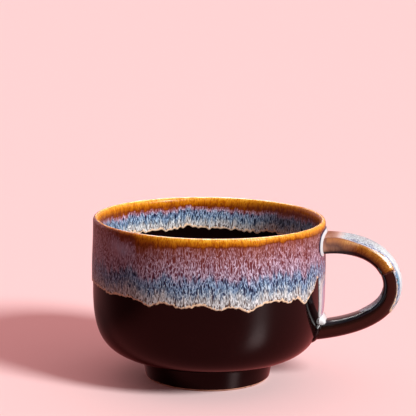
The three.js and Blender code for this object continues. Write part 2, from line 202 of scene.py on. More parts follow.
class Line:
    """A smooth line in the plane of radius and height, read by its length from a chosen zero."""

    def __init__(self, points: Array, zero: int = 0) -> None:
        """Measures the line.

        Args:
            points: Radius and height of closely spaced points.
            zero: Index of the point whose length counts as 0.
        """
        step = np.hypot(*np.diff(points, axis=0).T)
        self.length = np.concatenate([[0.0], np.cumsum(step)])
        self.length -= self.length[zero]
        self.points = points
        along = np.gradient(points, self.length, axis=0)
        self.along = along / np.hypot(along[:, 0], along[:, 1])[:, None]

    def at(self, length: Array) -> tuple[Array, Array]:
        """Radius and height at a length."""
        radius, height = (np.interp(length, self.length, column) for column in self.points.T)
        return radius, height

    def left(self, length: Array) -> tuple[Array, Array]:
        """Unit step to the left of the line's direction, as radius and height."""
        radius, height = (np.interp(length, self.length, column) for column in self.along.T)
        return -height, radius

    def off(self, length: Array, step: Array | float) -> tuple[Array, Array]:
        """Radius and height of points a step to the left of the line.

        Args:
            length: Lengths along the line.
            step: How far to the left each point stands.

        Returns:
            The radii and the heights.
        """
        radius, height = self.at(length)
        left_radius, left_height = self.left(length)
        return radius + left_radius * step, height + left_height * step


@dataclass(frozen=True)
class BowlShape:
    """Profile of the bowl over its glaze, in millimetres."""

    height: float = 73.0
    wall_radius: float = 52.0
    belly_top: float = 40.0
    belly_rise_deg: float = 10.0
    belly_low_pull: float = 14.3
    belly_high_pull: float = 25.0
    floor_height: float = 15.0
    floor_flat: float = 22.0
    inside_radius: float = 47.6
    inside_top: float = 41.0
    inside_low_pull: float = 18.0
    inside_high_pull: float = 22.0
    lip_outer: tuple[float, float] = (1.2, 1.6)
    lip_inner: tuple[float, float] = (1.6, 2.6)
    foot_height: float = 9.7
    foot_top_radius: float = 29.9
    foot_base_radius: float = 28.0
    foot_inner_radius: float = 24.0
    steps: int = 400

    @property
    def crest_radius(self) -> float:
        """Radius of the lip's highest line."""
        return self.wall_radius - self.lip_outer[0]

    def quarter(self, size: tuple[float, float], start_deg: float, end_deg: float) -> Array:
        """A quarter ellipse under the lip's crest.

        Args:
            size: Width and drop of the ellipse.
            start_deg: Angle of the first point.
            end_deg: Angle of the last point.

        Returns:
            Points (crest radius + width cos, height - drop + drop sin).
        """
        angle = np.radians(np.linspace(start_deg, end_deg, self.steps))
        radius = self.crest_radius + size[0] * np.cos(angle)
        return np.stack([radius, self.height - size[1] + size[1] * np.sin(angle)], axis=-1)

    def belly(self) -> Array:
        """The outside from the foot's corner up to the upright wall: one cubic Bezier curve.

        Returns:
            Radius and height of its points.
        """
        corner = np.array([self.foot_top_radius, self.foot_height])
        end = np.array([self.wall_radius, self.belly_top])
        low = corner + heading(self.belly_rise_deg, self.belly_low_pull)
        return bezier(corner, low, end - [0.0, self.belly_high_pull], end, self.steps)

    def outside(self) -> Array:
        """The outside from the foot's corner to the lip's crest."""
        return np.concatenate([self.belly(), self.quarter(self.lip_outer, 0.0, 90.0)])

    def inside(self) -> Array:
        """The inside from the axis over the floor and up the wall to the lip's crest.

        Returns:
            Radius and height of its points.
        """
        lip = self.quarter(self.lip_inner, 180.0, 90.0)
        top = np.array([self.inside_radius, self.inside_top])
        lean = (lip[0] - top) / np.hypot(*(lip[0] - top))
        start = np.array([self.floor_flat, self.floor_height])
        low = start + [self.inside_low_pull, 0.0]
        bend = bezier(start, low, top - lean * self.inside_high_pull, top, self.steps)
        return np.concatenate([[[0.0, self.floor_height]], bend, lip])

    def outer_radius(self, height: Array) -> Array:
        """Radius of the outside at a height."""
        line = self.outside()
        return np.interp(height, line[:, 1], line[:, 0])

    def foot_radius(self, height: Array) -> Array:
        """Radius of the foot's leaning side at a height."""
        lean = (self.foot_top_radius - self.foot_base_radius) / self.foot_height
        return self.foot_base_radius + lean * height


@dataclass(frozen=True)
class DripLine:
    """Lower edges of the second coat, outside and inside the bowl.

    Outside, the edge is a level line less the sum of the drips, with a notch on either side of the
    wide run under the handle; fine scallops ride on it. Inside it is a level line with waves.
    """

    level: float = 44.7
    drips: tuple[Hump, ...] = (
        Hump(-170, 1.4, 6), Hump(-136, 0.9, 5), Hump(-110, 2.2, 5), Hump(-93, 1.9, 6),
        Hump(-76, 2.3, 5), Hump(-62, 3.3, 6), Hump(-39.5, 1.6, 4), Hump(-28, 3.9, 4),
        Hump(31, 3.4, 4), Hump(52, 1.8, 6), Hump(74, 2.9, 5), Hump(97, 1.5, 6),
        Hump(118, 2.6, 5), Hump(146, 1.7, 6),
    )
    scallop: float = 0.36
    scallops: Wobble = Wobble(38, 165, 7, 11)
    run_end: float = 30.7
    run_half: float = 11.5
    run_soft: float = 1.6
    run_round: float = 2.2
    run_bluntness: int = 6
    notch: Hump = Hump(14.8, 5.6, 4.0)
    inside_drop: float = 15.0
    inside_wave: float = 0.9
    inside_waves: Wobble = Wobble(5, 24, 4, 23)
    inside_scallop: float = 0.576
    inside_scallops: Wobble = Wobble(40, 130, 9, 31, 0.5)

    def free(self, azimuth: Array) -> Array:
        """Height of the outer edge with the run under the handle left out."""
        drops = sum(drip.over(azimuth) for drip in self.drips)
        return self.level - drops + self.scallop * self.scallops.at(np.radians(azimuth))

    def outside(self, azimuth: Array) -> Array:
        """Height of the outer edge, with the notches and the run, whose end is rounded.

        Args:
            azimuth: Degrees from the handle, -180 to 180.

        Returns:
            The heights.
        """
        away = np.abs(azimuth)
        notched = self.free(azimuth) + self.notch.over(away)
        in_run = 1.0 - ease(away, self.run_half - self.run_soft, self.run_half + self.run_soft)
        end = self.run_end + self.run_round * ramp(away, 0.0, self.run_half) ** self.run_bluntness
        return notched + (end - notched) * in_run

    def inside(self, azimuth: Array, height: float) -> Array:
        """Height of the inner edge.

        Args:
            azimuth: Degrees from the handle.
            height: Height of the lip.

        Returns:
            The heights.
        """
        angle = np.radians(azimuth)
        slow = self.inside_wave * self.inside_waves.at(angle)
        return height - self.inside_drop + slow + self.inside_scallop * self.inside_scallops.at(angle)


@dataclass(frozen=True)
class StrapShape:
    """The handle over its glaze: a superellipse section carried along two joined Bezier curves."""

    top: tuple[float, float] = (48.0, 63.2)
    top_rise_deg: float = 7.0
    top_pull: float = 28.0
    bulge: tuple[float, float] = (82.42, 45.5)
    upper_pull: float = 7.4
    lower_pull: float = 10.0
    low: tuple[float, float] = (46.0, 23.2)
    low_rise_deg: float = 7.5
    low_pull: float = 26.0
    thickness: tuple[float, float, float] = (9.2, 8.1, 8.4)
    width: tuple[float, float] = (11.5, 13.5)
    root_depth: float = 4.0
    root_spread: float = 5.5
    root_blend: float = 9.0
    squareness: float = 2.6
    steps: int = 600

    def centre(self) -> Line:
        """The strap's middle line in the plane of the handle.

        Returns:
            The line, from the upper root to the lower.
        """
        start, bulge, end = np.array(self.top), np.array(self.bulge), np.array(self.low)
        upper = bezier(
            start,
            start + heading(self.top_rise_deg, self.top_pull),
            bulge + [0.0, self.upper_pull],
            bulge,
            self.steps,
        )
        lower = bezier(
            bulge,
            bulge - [0.0, self.lower_pull],
            end + heading(self.low_rise_deg, self.low_pull),
            end,
            self.steps,
        )
        return Line(np.concatenate([upper, lower[1:]]))

    def point(self, line: Line, length: Array, angle: Array, grown: Array | float) -> Array:
        """Points of the strap's surface.

        The section is (thick * |cos|^p, wide * |sin|^p) with the signs kept and p = 2 / squareness,
        set across the middle line; angle 0 is the outer face. At the upper root the width gains a
        spread that fades with the square of the distance from the wall.

        Args:
            line: The strap's middle line.
            length: Lengths along it.
            angle: Angles round the section, in radians.
            grown: How far the surface stands off the glaze's own surface.

        Returns:
            Points with x, y, z in the last axis.
        """
        share = np.clip(length / line.length[-1], 0.0, 1.0)
        first, middle, last = self.thickness
        dip = middle - (first + last) / 2.0
        thick = (first + (last - first) * share + dip * 4.0 * share * (1.0 - share)) / 2.0
        root = np.clip(1.0 - (length - self.root_depth) / self.root_blend, 0.0, 1.0)
        wide = (self.width[0] + (self.width[1] - self.width[0]) * share + self.root_spread * root**2) / 2.0
        power = 2.0 / self.squareness
        cosine, sine = np.cos(angle), np.sin(angle)
        outwards = (thick + grown) * np.sign(cosine) * np.abs(cosine) ** power
        across = (wide + grown) * np.sign(sine) * np.abs(sine) ** power
        radius, height = line.off(length, outwards)
        return np.stack(np.broadcast_arrays(radius, across, height), axis=-1)


def round_axis(azimuth: Array, radius: Array, height: Array) -> Array:
    """Points at an azimuth, radius and height about the bowl's axis.

    Args:
        azimuth: Degrees from the handle.
        radius: Distance from the axis.
        height: Distance above the table.

    Returns:
        Points with x, y, z in the last axis.
    """
    angle = np.radians(azimuth)
    x, y, z = np.broadcast_arrays(radius * np.cos(angle), radius * np.sin(angle), height)
    return np.stack([x, y, z], axis=-1)


def turned(section: Array, azimuth: Array) -> Array:
    """Carries a section of radius and height, in its last axis, round the bowl's axis."""
    return round_axis(azimuth, section[..., 0], section[..., 1])


def even_turn(count: int, start: float) -> Array:
    """Even azimuths all the way round from a start, in degrees."""
    return np.arange(count) * 360.0 / count + start


def ring_faces(rows: int, columns: int, closed: bool) -> Array:
    """Quads of a grid of closed sections: rows run round a section, columns run along the piece.

    Args:
        rows: Points round a section.
        columns: Number of sections.
        closed: Whether the last section joins the first.

    Returns:
        Four point numbers for each quad.
    """
    steps = np.arange(columns if closed else columns - 1)
    row, column = np.meshgrid(np.arange(rows), steps, indexing="ij")
    row_next, column_next = (row + 1) % rows, (column + 1) % columns
    corners = (
        row * columns + column,
        row * columns + column_next,
        row_next * columns + column_next,
        row_next * columns + column,
    )
    return np.stack(corners, axis=-1).reshape(-1, 4)


def facing_out(points: Array, faces: Array) -> Array:
    """Turns all quads round where their signed volume is negative.

    Args:
        points: Mesh points.
        faces: Quads.

    Returns:
        Quads that face outwards.
    """
    a, b, c, d = (points[faces[:, i]] for i in range(4))
    volume = np.einsum("ij,ij->i", a, np.cross(b, c) + np.cross(c, d)).sum()
    return faces if volume > 0.0 else faces[:, ::-1]


@dataclass
class Mug:
    """What every piece needs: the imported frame's axis and the shapes of bowl, drip line and strap."""

    axis: float
    bowl: BowlShape = field(default_factory=BowlShape)
    drip: DripLine = field(default_factory=DripLine)
    strap: StrapShape = field(default_factory=StrapShape)

    def piece(
        self,
        name: str,
        grid: Array,
        finish: bpy.types.Material,
        nodes: tuple[str, ...],
        slot: str,
        marks: dict[str, Array] | None = None,
        closed: bool = True,
    ) -> bpy.types.Object:
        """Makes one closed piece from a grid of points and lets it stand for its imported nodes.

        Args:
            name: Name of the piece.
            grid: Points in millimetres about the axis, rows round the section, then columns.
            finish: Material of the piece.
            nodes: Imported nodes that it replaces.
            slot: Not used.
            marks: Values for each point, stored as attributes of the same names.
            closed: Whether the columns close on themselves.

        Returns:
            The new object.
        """
        rows, columns = grid.shape[:2]
        points = grid.reshape(-1, 3) * MM + [self.axis, 0.0, 0.0]
        faces = facing_out(points - points.mean(axis=0), ring_faces(rows, columns, closed))
        mesh = bpy.data.meshes.new(name)
        mesh.from_pydata(points.tolist(), [], faces.tolist())
        for mark, values in (marks or {}).items():
            vector = values.ndim == 3
            layer = mesh.attributes.new(mark, "FLOAT_VECTOR" if vector else "FLOAT", "POINT")
            layer.data.foreach_set("vector" if vector else "value", values.astype(np.float32).ravel())
        self.weld(mesh)
        mesh.materials.append(finish)
        mesh.shade_smooth()
        piece = bpy.data.objects.new(name, mesh)
        bpy.context.scene.collection.objects.link(piece)
        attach(piece, BODY)
        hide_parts(*nodes)
        LOG.info("%s: %d faces for %s", name, len(mesh.polygons), ", ".join(nodes))
        return piece

    @staticmethod
    def weld(mesh: bpy.types.Mesh) -> None:
        """Joins points that coincide, so that poles and pointed ends are closed.

        Args:
            mesh: The mesh.
        """
        work = bmesh.new()
        work.from_mesh(mesh)
        bmesh.ops.remove_doubles(work, verts=work.verts, dist=WELD)
        work.to_mesh(mesh)
        work.free()


class Zone(Enum):
    """Places on the second coat's colour scale, from the drip edge up to the lip's crest."""

    EDGE = 0.0
    WHITE = 0.1
    BLUE = 0.18
    MAUVE = 0.42
    BROWN = 0.8
    AMBER = 0.88
    CREST = 1.0

    def to(self, end: Zone) -> float:
        """Length of the scale from here to a later place."""
        return end.value - self.value


@dataclass
class RunCoat:
    """The thick second coat: one skin from its inner drip edge over the lip to its outer drip edge.

    Humps stand at azimuths, but smooth_down stands at a length down from the lip's crest, and each
    amber depth is an azimuth and such a length.
    """

    mug: Mug
    swell: Shift = Shift(0.48, 5.0, 24.0)
    swell_inside: Shift = Shift(0.35, 3.0, 12.0)
    depth: float = 0.5
    sink: float = 0.15
    roll: float = 0.8
    steepest: float = 6.0
    fine_half: float = 30.0
    fine_step: float = 0.2
    coarse_step: float = 0.6
    foot_clear: float = 5.0
    edge_steps: tuple[float, ...] = (0.0, 0.05, 0.12, 0.22, 0.35, 0.52, 0.75, 1.05, 1.5, 2.2)
    lip_reach: float = 4.0
    lip_rows: int = 26
    inner_rows: int = 11
    outer_rows: int = 28
    back_rows: int = 24
    white_width: float = 4.6
    white_wave: float = 0.9
    white_waves: Wobble = Wobble(3, 40, 5, 5)
    white_narrowed: Hump = Hump(-155.0, 0.5, 17.0)
    blue_width: float = 7.4
    blue_wave: float = 0.7
    blue_waves: Wobble = Wobble(2, 30, 4, 7)
    blue_widened: Hump = Hump(-155.0, 0.3, 17.0)
    amber_depth: tuple[Range, ...] = (
        (-180.0, 1.2), (-158.0, 0.4), (-150.0, 0.5), (-143.0, 1.0), (-136.0, 2.2), (-131.0, 3.2),
        (-128.5, 3.6), (-127.0, 5.2), (-120.0, 4.5), (-118.2, 4.8), (-116.3, 8.4), (-113.8, 8.2),
        (-111.5, 6.4), (-103.0, 5.6), (-93.0, 4.9), (-81.0, 4.4), (-58.0, 4.2), (-40.0, 3.5),
        (-20.0, 4.0), (0.0, 4.4), (20.0, 4.2), (44.0, 5.8), (52.0, 5.1), (70.0, 4.0), (96.0, 4.7),
        (110.0, 6.4), (116.0, 4.9), (140.0, 4.2), (160.0, 2.6), (180.0, 1.0),
    )
    amber_wave: float = 0.09
    amber_waves: Wobble = Wobble(9, 90, 9, 9, 0.2)
    amber_soft: float = 0.35
    amber_bend: float = 1.15
    # Painted shade: the amber is browner on the front left, the side away from the key light.
    left_amber_shade: Hump = Hump(-125.0, 0.07, 19.0)
    left_amber_shade_soft: Range = (0.0, 0.5)
    brown_streak: Hump = Hump(-127.0, 0.22, 9.0)
    streak_start: Range = (0.1, 0.6)
    streak_end: Range = (4.0, 8.0)
    run_white: float = 0.3
    run_lilac: Shift = Shift(0.41, -1.0, 4.0)
    lilac_half: Range = (5.5, 9.0)
    plain_run: Shift = Shift(0.85, -1.0, 2.0)
    plain_below: Range = (-2.0, 6.0)
    smooth_across: Hump = Hump(-128.0, 0.8, 8.0)
    smooth_down: Hump = Hump(8.5, 1.0, 3.5)
    inside_white: float = 3.6
    inside_blue: float = 5.2
    inside_mauve: float = 1.4
    inside_amber: float = 5.2
    plain_edge: float = 5.0

    def columns(self) -> Array:
        """Azimuths all the way round, closer together beside the handle.

        Returns:
            The azimuths in degrees, rising.
        """
        fine = np.arange(-self.fine_half, self.fine_half, self.fine_step)
        coarse = np.arange(self.fine_half, 360.0 - self.fine_half, self.coarse_step)
        return np.concatenate([fine, coarse])

    def line(self) -> Line:
        """The coat's path: up the inner wall, over the lip and down the outside, 0 at the crest.

        Returns:
            The path.
        """
        bowl = self.mug.bowl
        inside, outside = bowl.inside(), bowl.outside()
        wall = np.linspace(bowl.inside_top, bowl.height - bowl.lip_inner[1], bowl.steps)
        rise = np.stack([np.interp(wall, inside[1:, 1], inside[1:, 0]), wall], axis=-1)
        lip = bowl.quarter(bowl.lip_inner, 180.0, 90.0)
        down = bowl.quarter(bowl.lip_outer, 90.0, 0.0)
        end = bowl.foot_height + self.foot_clear
        drop = np.linspace(bowl.height - bowl.lip_outer[1], end, bowl.steps)
        fall = np.stack([np.interp(drop, outside[:, 1], outside[:, 0]), drop], axis=-1)
        points = np.concatenate([rise, lip[1:], down[1:], fall[1:]])
        return Line(points, zero=rise.shape[0] + lip.shape[0] - 2)

    def rows(self, edge_in: Array, edge_out: Array, stretch_in: Array, stretch_out: Array) -> Array:
        """Lengths along the path for every row and column.

        Rows crowd towards both drip edges, by distance square to the edge, and over the lip.

        Args:
            edge_in: Length of the inner edge in each column, negative.
            edge_out: Length of the outer edge in each column.
            stretch_in: Path length per distance square to the inner edge.
            stretch_out: The same for the outer edge.

        Returns:
            Lengths, rows by columns.
        """
        steps = np.array(self.edge_steps)[:, None]
        inner = edge_in + steps * stretch_in
        outer = edge_out - steps[::-1] * stretch_out
        lip = np.linspace(-self.lip_reach, self.lip_reach, self.lip_rows)[:, None] + np.zeros_like(edge_in)
        share_in = np.linspace(0.0, 1.0, self.inner_rows)[1:-1, None]
        share_out = np.linspace(0.0, 1.0, self.outer_rows)[1:-1, None]
        between_in = inner[-1] + (lip[0] - inner[-1]) * share_in
        between_out = lip[-1] + (outer[0] - lip[-1]) * share_out
        return np.concatenate([inner, between_in, lip, between_out, outer])

    def zones_outside(self, length: Array, height: Array, azimuth: Array) -> Array:
        """Place on the colour scale outside: a sum of clipped straight ramps up from the drip edge.

        Args:
            length: Lengths along the path.
            height: Heights of the same points.
            azimuth: Azimuth of each column.

        Returns:
            Values between 0 and 1.
        """
        angle = np.radians(azimuth)
        free = self.mug.drip.free(azimuth)
        above = height - free
        white = self.white_width + self.white_wave * self.white_waves.at(angle)
        white = white * (1.0 - self.white_narrowed.over(azimuth))
        blue = self.blue_width + self.blue_wave * self.blue_waves.at(angle)
        blue = blue * (1.0 + self.blue_widened.over(azimuth))
        amber = np.interp(azimuth, *np.array(self.amber_depth).T)
        amber = amber * (1.0 + self.amber_wave * self.amber_waves.at(angle))
        under = length - amber
        mauve_top = self.mug.bowl.height - amber - free
        zone = (
            Zone.EDGE.to(Zone.BLUE) * np.clip(above / white, self.run_white, 1.0)
            + Zone.BLUE.to(Zone.MAUVE) * ramp(above, white, white + blue)
            + Zone.MAUVE.to(Zone.BROWN) * ramp(above, white + blue, mauve_top)
            + Zone.BROWN.to(Zone.AMBER) * ramp(-under, -self.amber_soft, self.amber_soft)
            + Zone.AMBER.to(Zone.CREST) * (1.0 - ramp(length, 0.0, amber) ** self.amber_bend)
        )
        streak = ease(under, *self.streak_start) * (1.0 - ease(under, *self.streak_end))
        lilac = self.run_lilac.fall(above) * (1.0 - ease(np.abs(azimuth), *self.lilac_half))
        # The amber's browning on the front left is painted shade.
        brown = self.left_amber_shade.over(azimuth) * ease(-under, *self.left_amber_shade_soft)
        return zone + lilac - brown - self.brown_streak.over(azimuth) * streak

    def zones_inside(self, length: Array, edge_in: Array) -> Array:
        """Place on the colour scale inside, where the mauve is a narrow line under the amber.

        Args:
            length: Lengths along the path.
            edge_in: Length of the inner edge in each column.

        Returns:
            Values between 0 and 1.
        """
        away = length - edge_in
        mauve = self.inside_white + self.inside_blue
        return (
            Zone.EDGE.to(Zone.BLUE) * ramp(away, 0.0, self.inside_white)
            + Zone.BLUE.to(Zone.MAUVE) * ramp(away, self.inside_white, mauve)
            + Zone.MAUVE.to(Zone.AMBER) * ramp(away, mauve, mauve + self.inside_mauve)
            + Zone.AMBER.to(Zone.CREST) * ramp(length, -self.inside_amber, 0.0)
        )

    def richness(self, length: Array, height: Array, azimuth: Array) -> Array:
        """How strongly the net of threads shows: plain in the run and in a smooth patch below the lip.

        Args:
            length: Lengths along the path.
            height: Heights of the same points.
            azimuth: Azimuth of each column.

        Returns:
            Values between 0 and 1.
        """
        drip = self.mug.drip
        in_run = self.plain_run.fall(np.abs(azimuth) - drip.run_half)
        below = 1.0 - ease(height - drip.level, *self.plain_below)
        patch = self.smooth_across.over(azimuth) * self.smooth_down.over(length)
        return np.where(length > 0.0, 1.0 - in_run * below - patch, 1.0)

    def build(self, finish: bpy.types.Material) -> bpy.types.Object:
        """Makes the coat.

        The front stands proud by a swelling that grows away from the lip and rolls down to the
        base coat along a quarter circle at each edge; the back lies behind it by the depth.

        Args:
            finish: Material of the coat.

        Returns:
            The new object.
        """
        bowl, drip, path = self.mug.bowl, self.mug.drip, self.line()
        azimuth = self.columns()
        around = (azimuth + 180.0) % 360.0 - 180.0
        angle = np.radians(np.concatenate([azimuth, azimuth[:1] + 360.0]))
        crest = int(np.argmin(np.abs(path.length)))
        edge_out = np.interp(-drip.outside(around), -path.points[crest:, 1], path.length[crest:])
        edge_in = np.interp(drip.inside(azimuth, bowl.height), path.points[:crest, 1], path.length[:crest])
        stretch = []
        for edge in (edge_in, edge_out):
            slope = np.gradient(np.concatenate([edge, edge[:1]]), angle * bowl.wall_radius)[:-1]
            stretch.append(np.clip(np.hypot(1.0, slope), 1.0, self.steepest))
        length = self.rows(edge_in, edge_out, *stretch)
        near = np.minimum((length - edge_in) / stretch[0], (edge_out - length) / stretch[1])
        outside = length > 0.0
        swell = np.where(outside, self.swell.rise(length), self.swell_inside.rise(-length))
        lift = -self.sink + (self.sink + swell) * rolled(near, self.roll)
        keep = np.linspace(0, length.shape[0] - 1, self.back_rows).round().astype(int)[::-1]
        front = round_axis(azimuth, *path.off(length, lift))
        back = round_axis(azimuth, *path.off(length[keep], -self.depth))
        _, height = path.at(length)
        values = {
            "zone": np.where(
                outside, self.zones_outside(length, height, around), self.zones_inside(length, edge_in)
            ),
            "flow": round_axis(azimuth, bowl.wall_radius, length),
            "near": near + self.plain_edge * (np.abs(around) < drip.notch.at) * outside,
            "cover": np.ones_like(length),
            "rich": self.richness(length, height, around),
        }
        marks = {name: np.concatenate([value, value[keep]]) for name, value in values.items()}
        nodes = ("run_glaze_outside", "run_glaze_inside", "rim_glaze")
        grid = np.concatenate([front, back])
        return self.mug.piece("run_coat", grid, finish, nodes, "streaked_glaze", marks)


@dataclass
class DarkCoats:
    """The dark base coat: outside under the drip edge, the liner inside, and under the foot."""

    mug: Mug
    depth: float = 0.5
    back_depth: float = 0.75
    tuck: float = 1.6
    tuck_sink: Shift = Shift(0.52, 0.35, 1.05)
    edge_round: float = 0.4
    bare_edge: float = 0.65
    corner_soft: float = 1.1
    wall_top: float = 60.0
    flat_share: float = 0.3
    dome: float = 0.35
    dome_rim: Range = (0.97, 1.0)
    dome_rows: int = 60
    dome_back_step: int = 10
    columns: int = 480
    rows_outside: int = 150
    rows_inside: int = 130
    line_points: int = 900
    foot_points: int = 80
    wall_points: int = 60
    soft_points: int = 41

    def azimuths(self) -> Array:
        """Even azimuths all the way round."""
        return even_turn(self.columns, start=-180.0)

    def softened(self, points: Array, reach: float) -> Array:
        """Rounds the corners of a line by averaging it over a reach along its length.

        Args:
            points: Radius and height of the line's points.
            reach: Length over which it is averaged.

        Returns:
            Evenly spaced points of the rounded line, with the same ends.
        """
        line = Line(points)
        length = np.linspace(0.0, line.length[-1], self.line_points)
        spread = np.linspace(-1.0, 1.0, self.soft_points)[:, None] * reach
        room = np.minimum(length, line.length[-1] - length) / reach
        radius, height = line.at(length + spread * np.clip(room, 0.0, 1.0))
        return np.stack([radius.mean(axis=0), height.mean(axis=0)], axis=-1)

    def skin(self, points: Array, top: Array, rows: int, side: float) -> tuple[Array, Array]:
        """Front and back of a coat that follows a rising line up to an edge and tucks in there.

        Rows divide each column evenly between the line's start and the coat's top; over the last
        stretch the front sinks behind the second coat, and its start is rounded.

        Args:
            points: The line, from its lower end.
            top: Height of the second coat's edge in each column.
            rows: Number of rows on the front.
            side: 1 where the clay lies to the left of the line, -1 where it lies to the right.

        Returns:
            Grids of radius and height for the whole front, and for some rows of the back.
        """
        line = Line(points)
        rising = int(points.shape[0] * self.flat_share)
        edge = np.interp(top, points[rising:, 1], line.length[rising:])
        length = np.linspace(0.0, 1.0, rows)[:, None] * (edge + self.tuck)
        sink = self.tuck_sink.rise(length - edge)
        sink = sink + self.depth * (1.0 - ramp(length, 0.0, self.edge_round)) ** 2
        front = np.stack(line.off(length, side * sink), axis=-1)
        back = np.stack(line.off(length, side * self.back_depth), axis=-1)
        return front, back[::-BACK_STEP]

    def build_outside(self, finish: bpy.types.Material) -> bpy.types.Object:
        """Makes the coat on the belly and the foot's side.

        Args:
            finish: Material of the coat.

        Returns:
            The new object.
        """
        bowl, azimuth = self.mug.bowl, self.azimuths()
        low = np.linspace(self.bare_edge, bowl.foot_height, self.foot_points)
        foot = np.stack([bowl.foot_radius(low), low], axis=-1)
        high = np.linspace(bowl.belly_top, self.wall_top, self.wall_points)
        wall = np.stack([np.full(high.size, bowl.wall_radius), high], axis=-1)
        line = self.softened(np.concatenate([foot, bowl.belly()[1:], wall[1:]]), self.corner_soft)
        skins = self.skin(line, self.mug.drip.outside(azimuth), self.rows_outside, side=1.0)
        grid = turned(np.concatenate(skins), azimuth)
        return self.mug.piece("dark_coat", grid, finish, ("base_glaze_outside",), "dark_glaze")

    def build_inside(self, finish: bpy.types.Material) -> bpy.types.Object:
        """Makes the liner on the floor and the inner wall, closed on the axis.

        Args:
            finish: Material of the coat.

        Returns:
            The new object.
        """
        bowl, azimuth = self.mug.bowl, self.azimuths()
        inside = bowl.inside()
        line = Line(inside[inside[:, 1] <= bowl.height - bowl.lip_inner[1]])
        points = np.stack(line.at(np.linspace(0.0, line.length[-1], self.line_points)), axis=-1)
        edge = self.mug.drip.inside(azimuth, bowl.height)
        front, back = self.skin(points, edge, self.rows_inside, side=-1.0)
        front[0, :, 0] = 0.0
        front[0, :, 1] = front[1, :, 1]
        centre = np.zeros_like(front[:1])
        centre[..., 1] = bowl.floor_height - self.back_depth
        grid = turned(np.concatenate([front, back, centre]), azimuth)
        return self.mug.piece("liner_coat", grid, finish, ("base_glaze_inside",), "dark_glaze")

    def build_underside(self, finish: bpy.types.Material) -> bpy.types.Object:
        """Makes the coat on the recess inside the foot: a shallow dome with a rounded rim.

        Its height falls with the square of the radius and turns up again over the last stretch.

        Args:
            finish: Material of the coat.

        Returns:
            The new object.
        """
        low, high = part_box("base_glaze_underside")
        bottom, top = low.z / MM, high.z / MM
        radius = np.linspace(0.0, (high.x - low.x) / 2.0 / MM, self.dome_rows)
        share = radius / radius[-1]
        height = bottom + self.dome * (1.0 - share**2 + ease(share, *self.dome_rim))
        under = np.stack([radius, height], axis=-1)
        back = radius[::-self.dome_back_step]
        over = np.stack([back, np.full(back.size, top)], axis=-1)
        section = np.concatenate([under, over, [[0.0, top]]])[:, None, :]
        grid = turned(section, self.azimuths())
        return self.mug.piece("underside_coat", grid, finish, ("base_glaze_underside",), "dark_glaze")


@dataclass
class Foot:
    """The bare clay foot ring, with rounded lower edges."""

    mug: Mug
    skin: float = 0.65
    inset: float = 0.15
    rounding: float = 0.9
    side_start: float = 0.35
    inner_start: float = 0.2
    corner_points: int = 12
    side_points: int = 10
    inner_points: int = 14
    columns: int = 300

    def build(self, finish: bpy.types.Material) -> bpy.types.Object:
        """Makes the ring: a closed section of straight sides and quarter-circle corners, turned.

        Args:
            finish: Material of the clay.

        Returns:
            The new object.
        """
        bowl, r = self.mug.bowl, self.rounding
        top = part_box("foot_ring")[1].z / MM
        turn = np.radians(np.linspace(0.0, 90.0, self.corner_points))
        inner, outer = bowl.foot_inner_radius, bowl.foot_base_radius - self.inset
        inner_corner = np.stack([inner + r - r * np.cos(turn), r - r * np.sin(turn)], axis=-1)
        outer_corner = np.stack([outer - r + r * np.sin(turn), r - r * np.cos(turn)], axis=-1)
        side = np.linspace(r + self.side_start, top, self.side_points)
        side_line = np.stack([bowl.foot_radius(side) - self.skin, side], axis=-1)
        upright = np.linspace(top, r + self.inner_start, self.inner_points)
        inner_line = np.stack([np.full(upright.size, inner), upright], axis=-1)
        section = np.concatenate([inner_line, inner_corner, outer_corner, side_line])[:, None, :]
        grid = turned(section, even_turn(self.columns, start=0.0))
        return self.mug.piece("foot", grid, finish, ("foot_ring",), "stoneware")


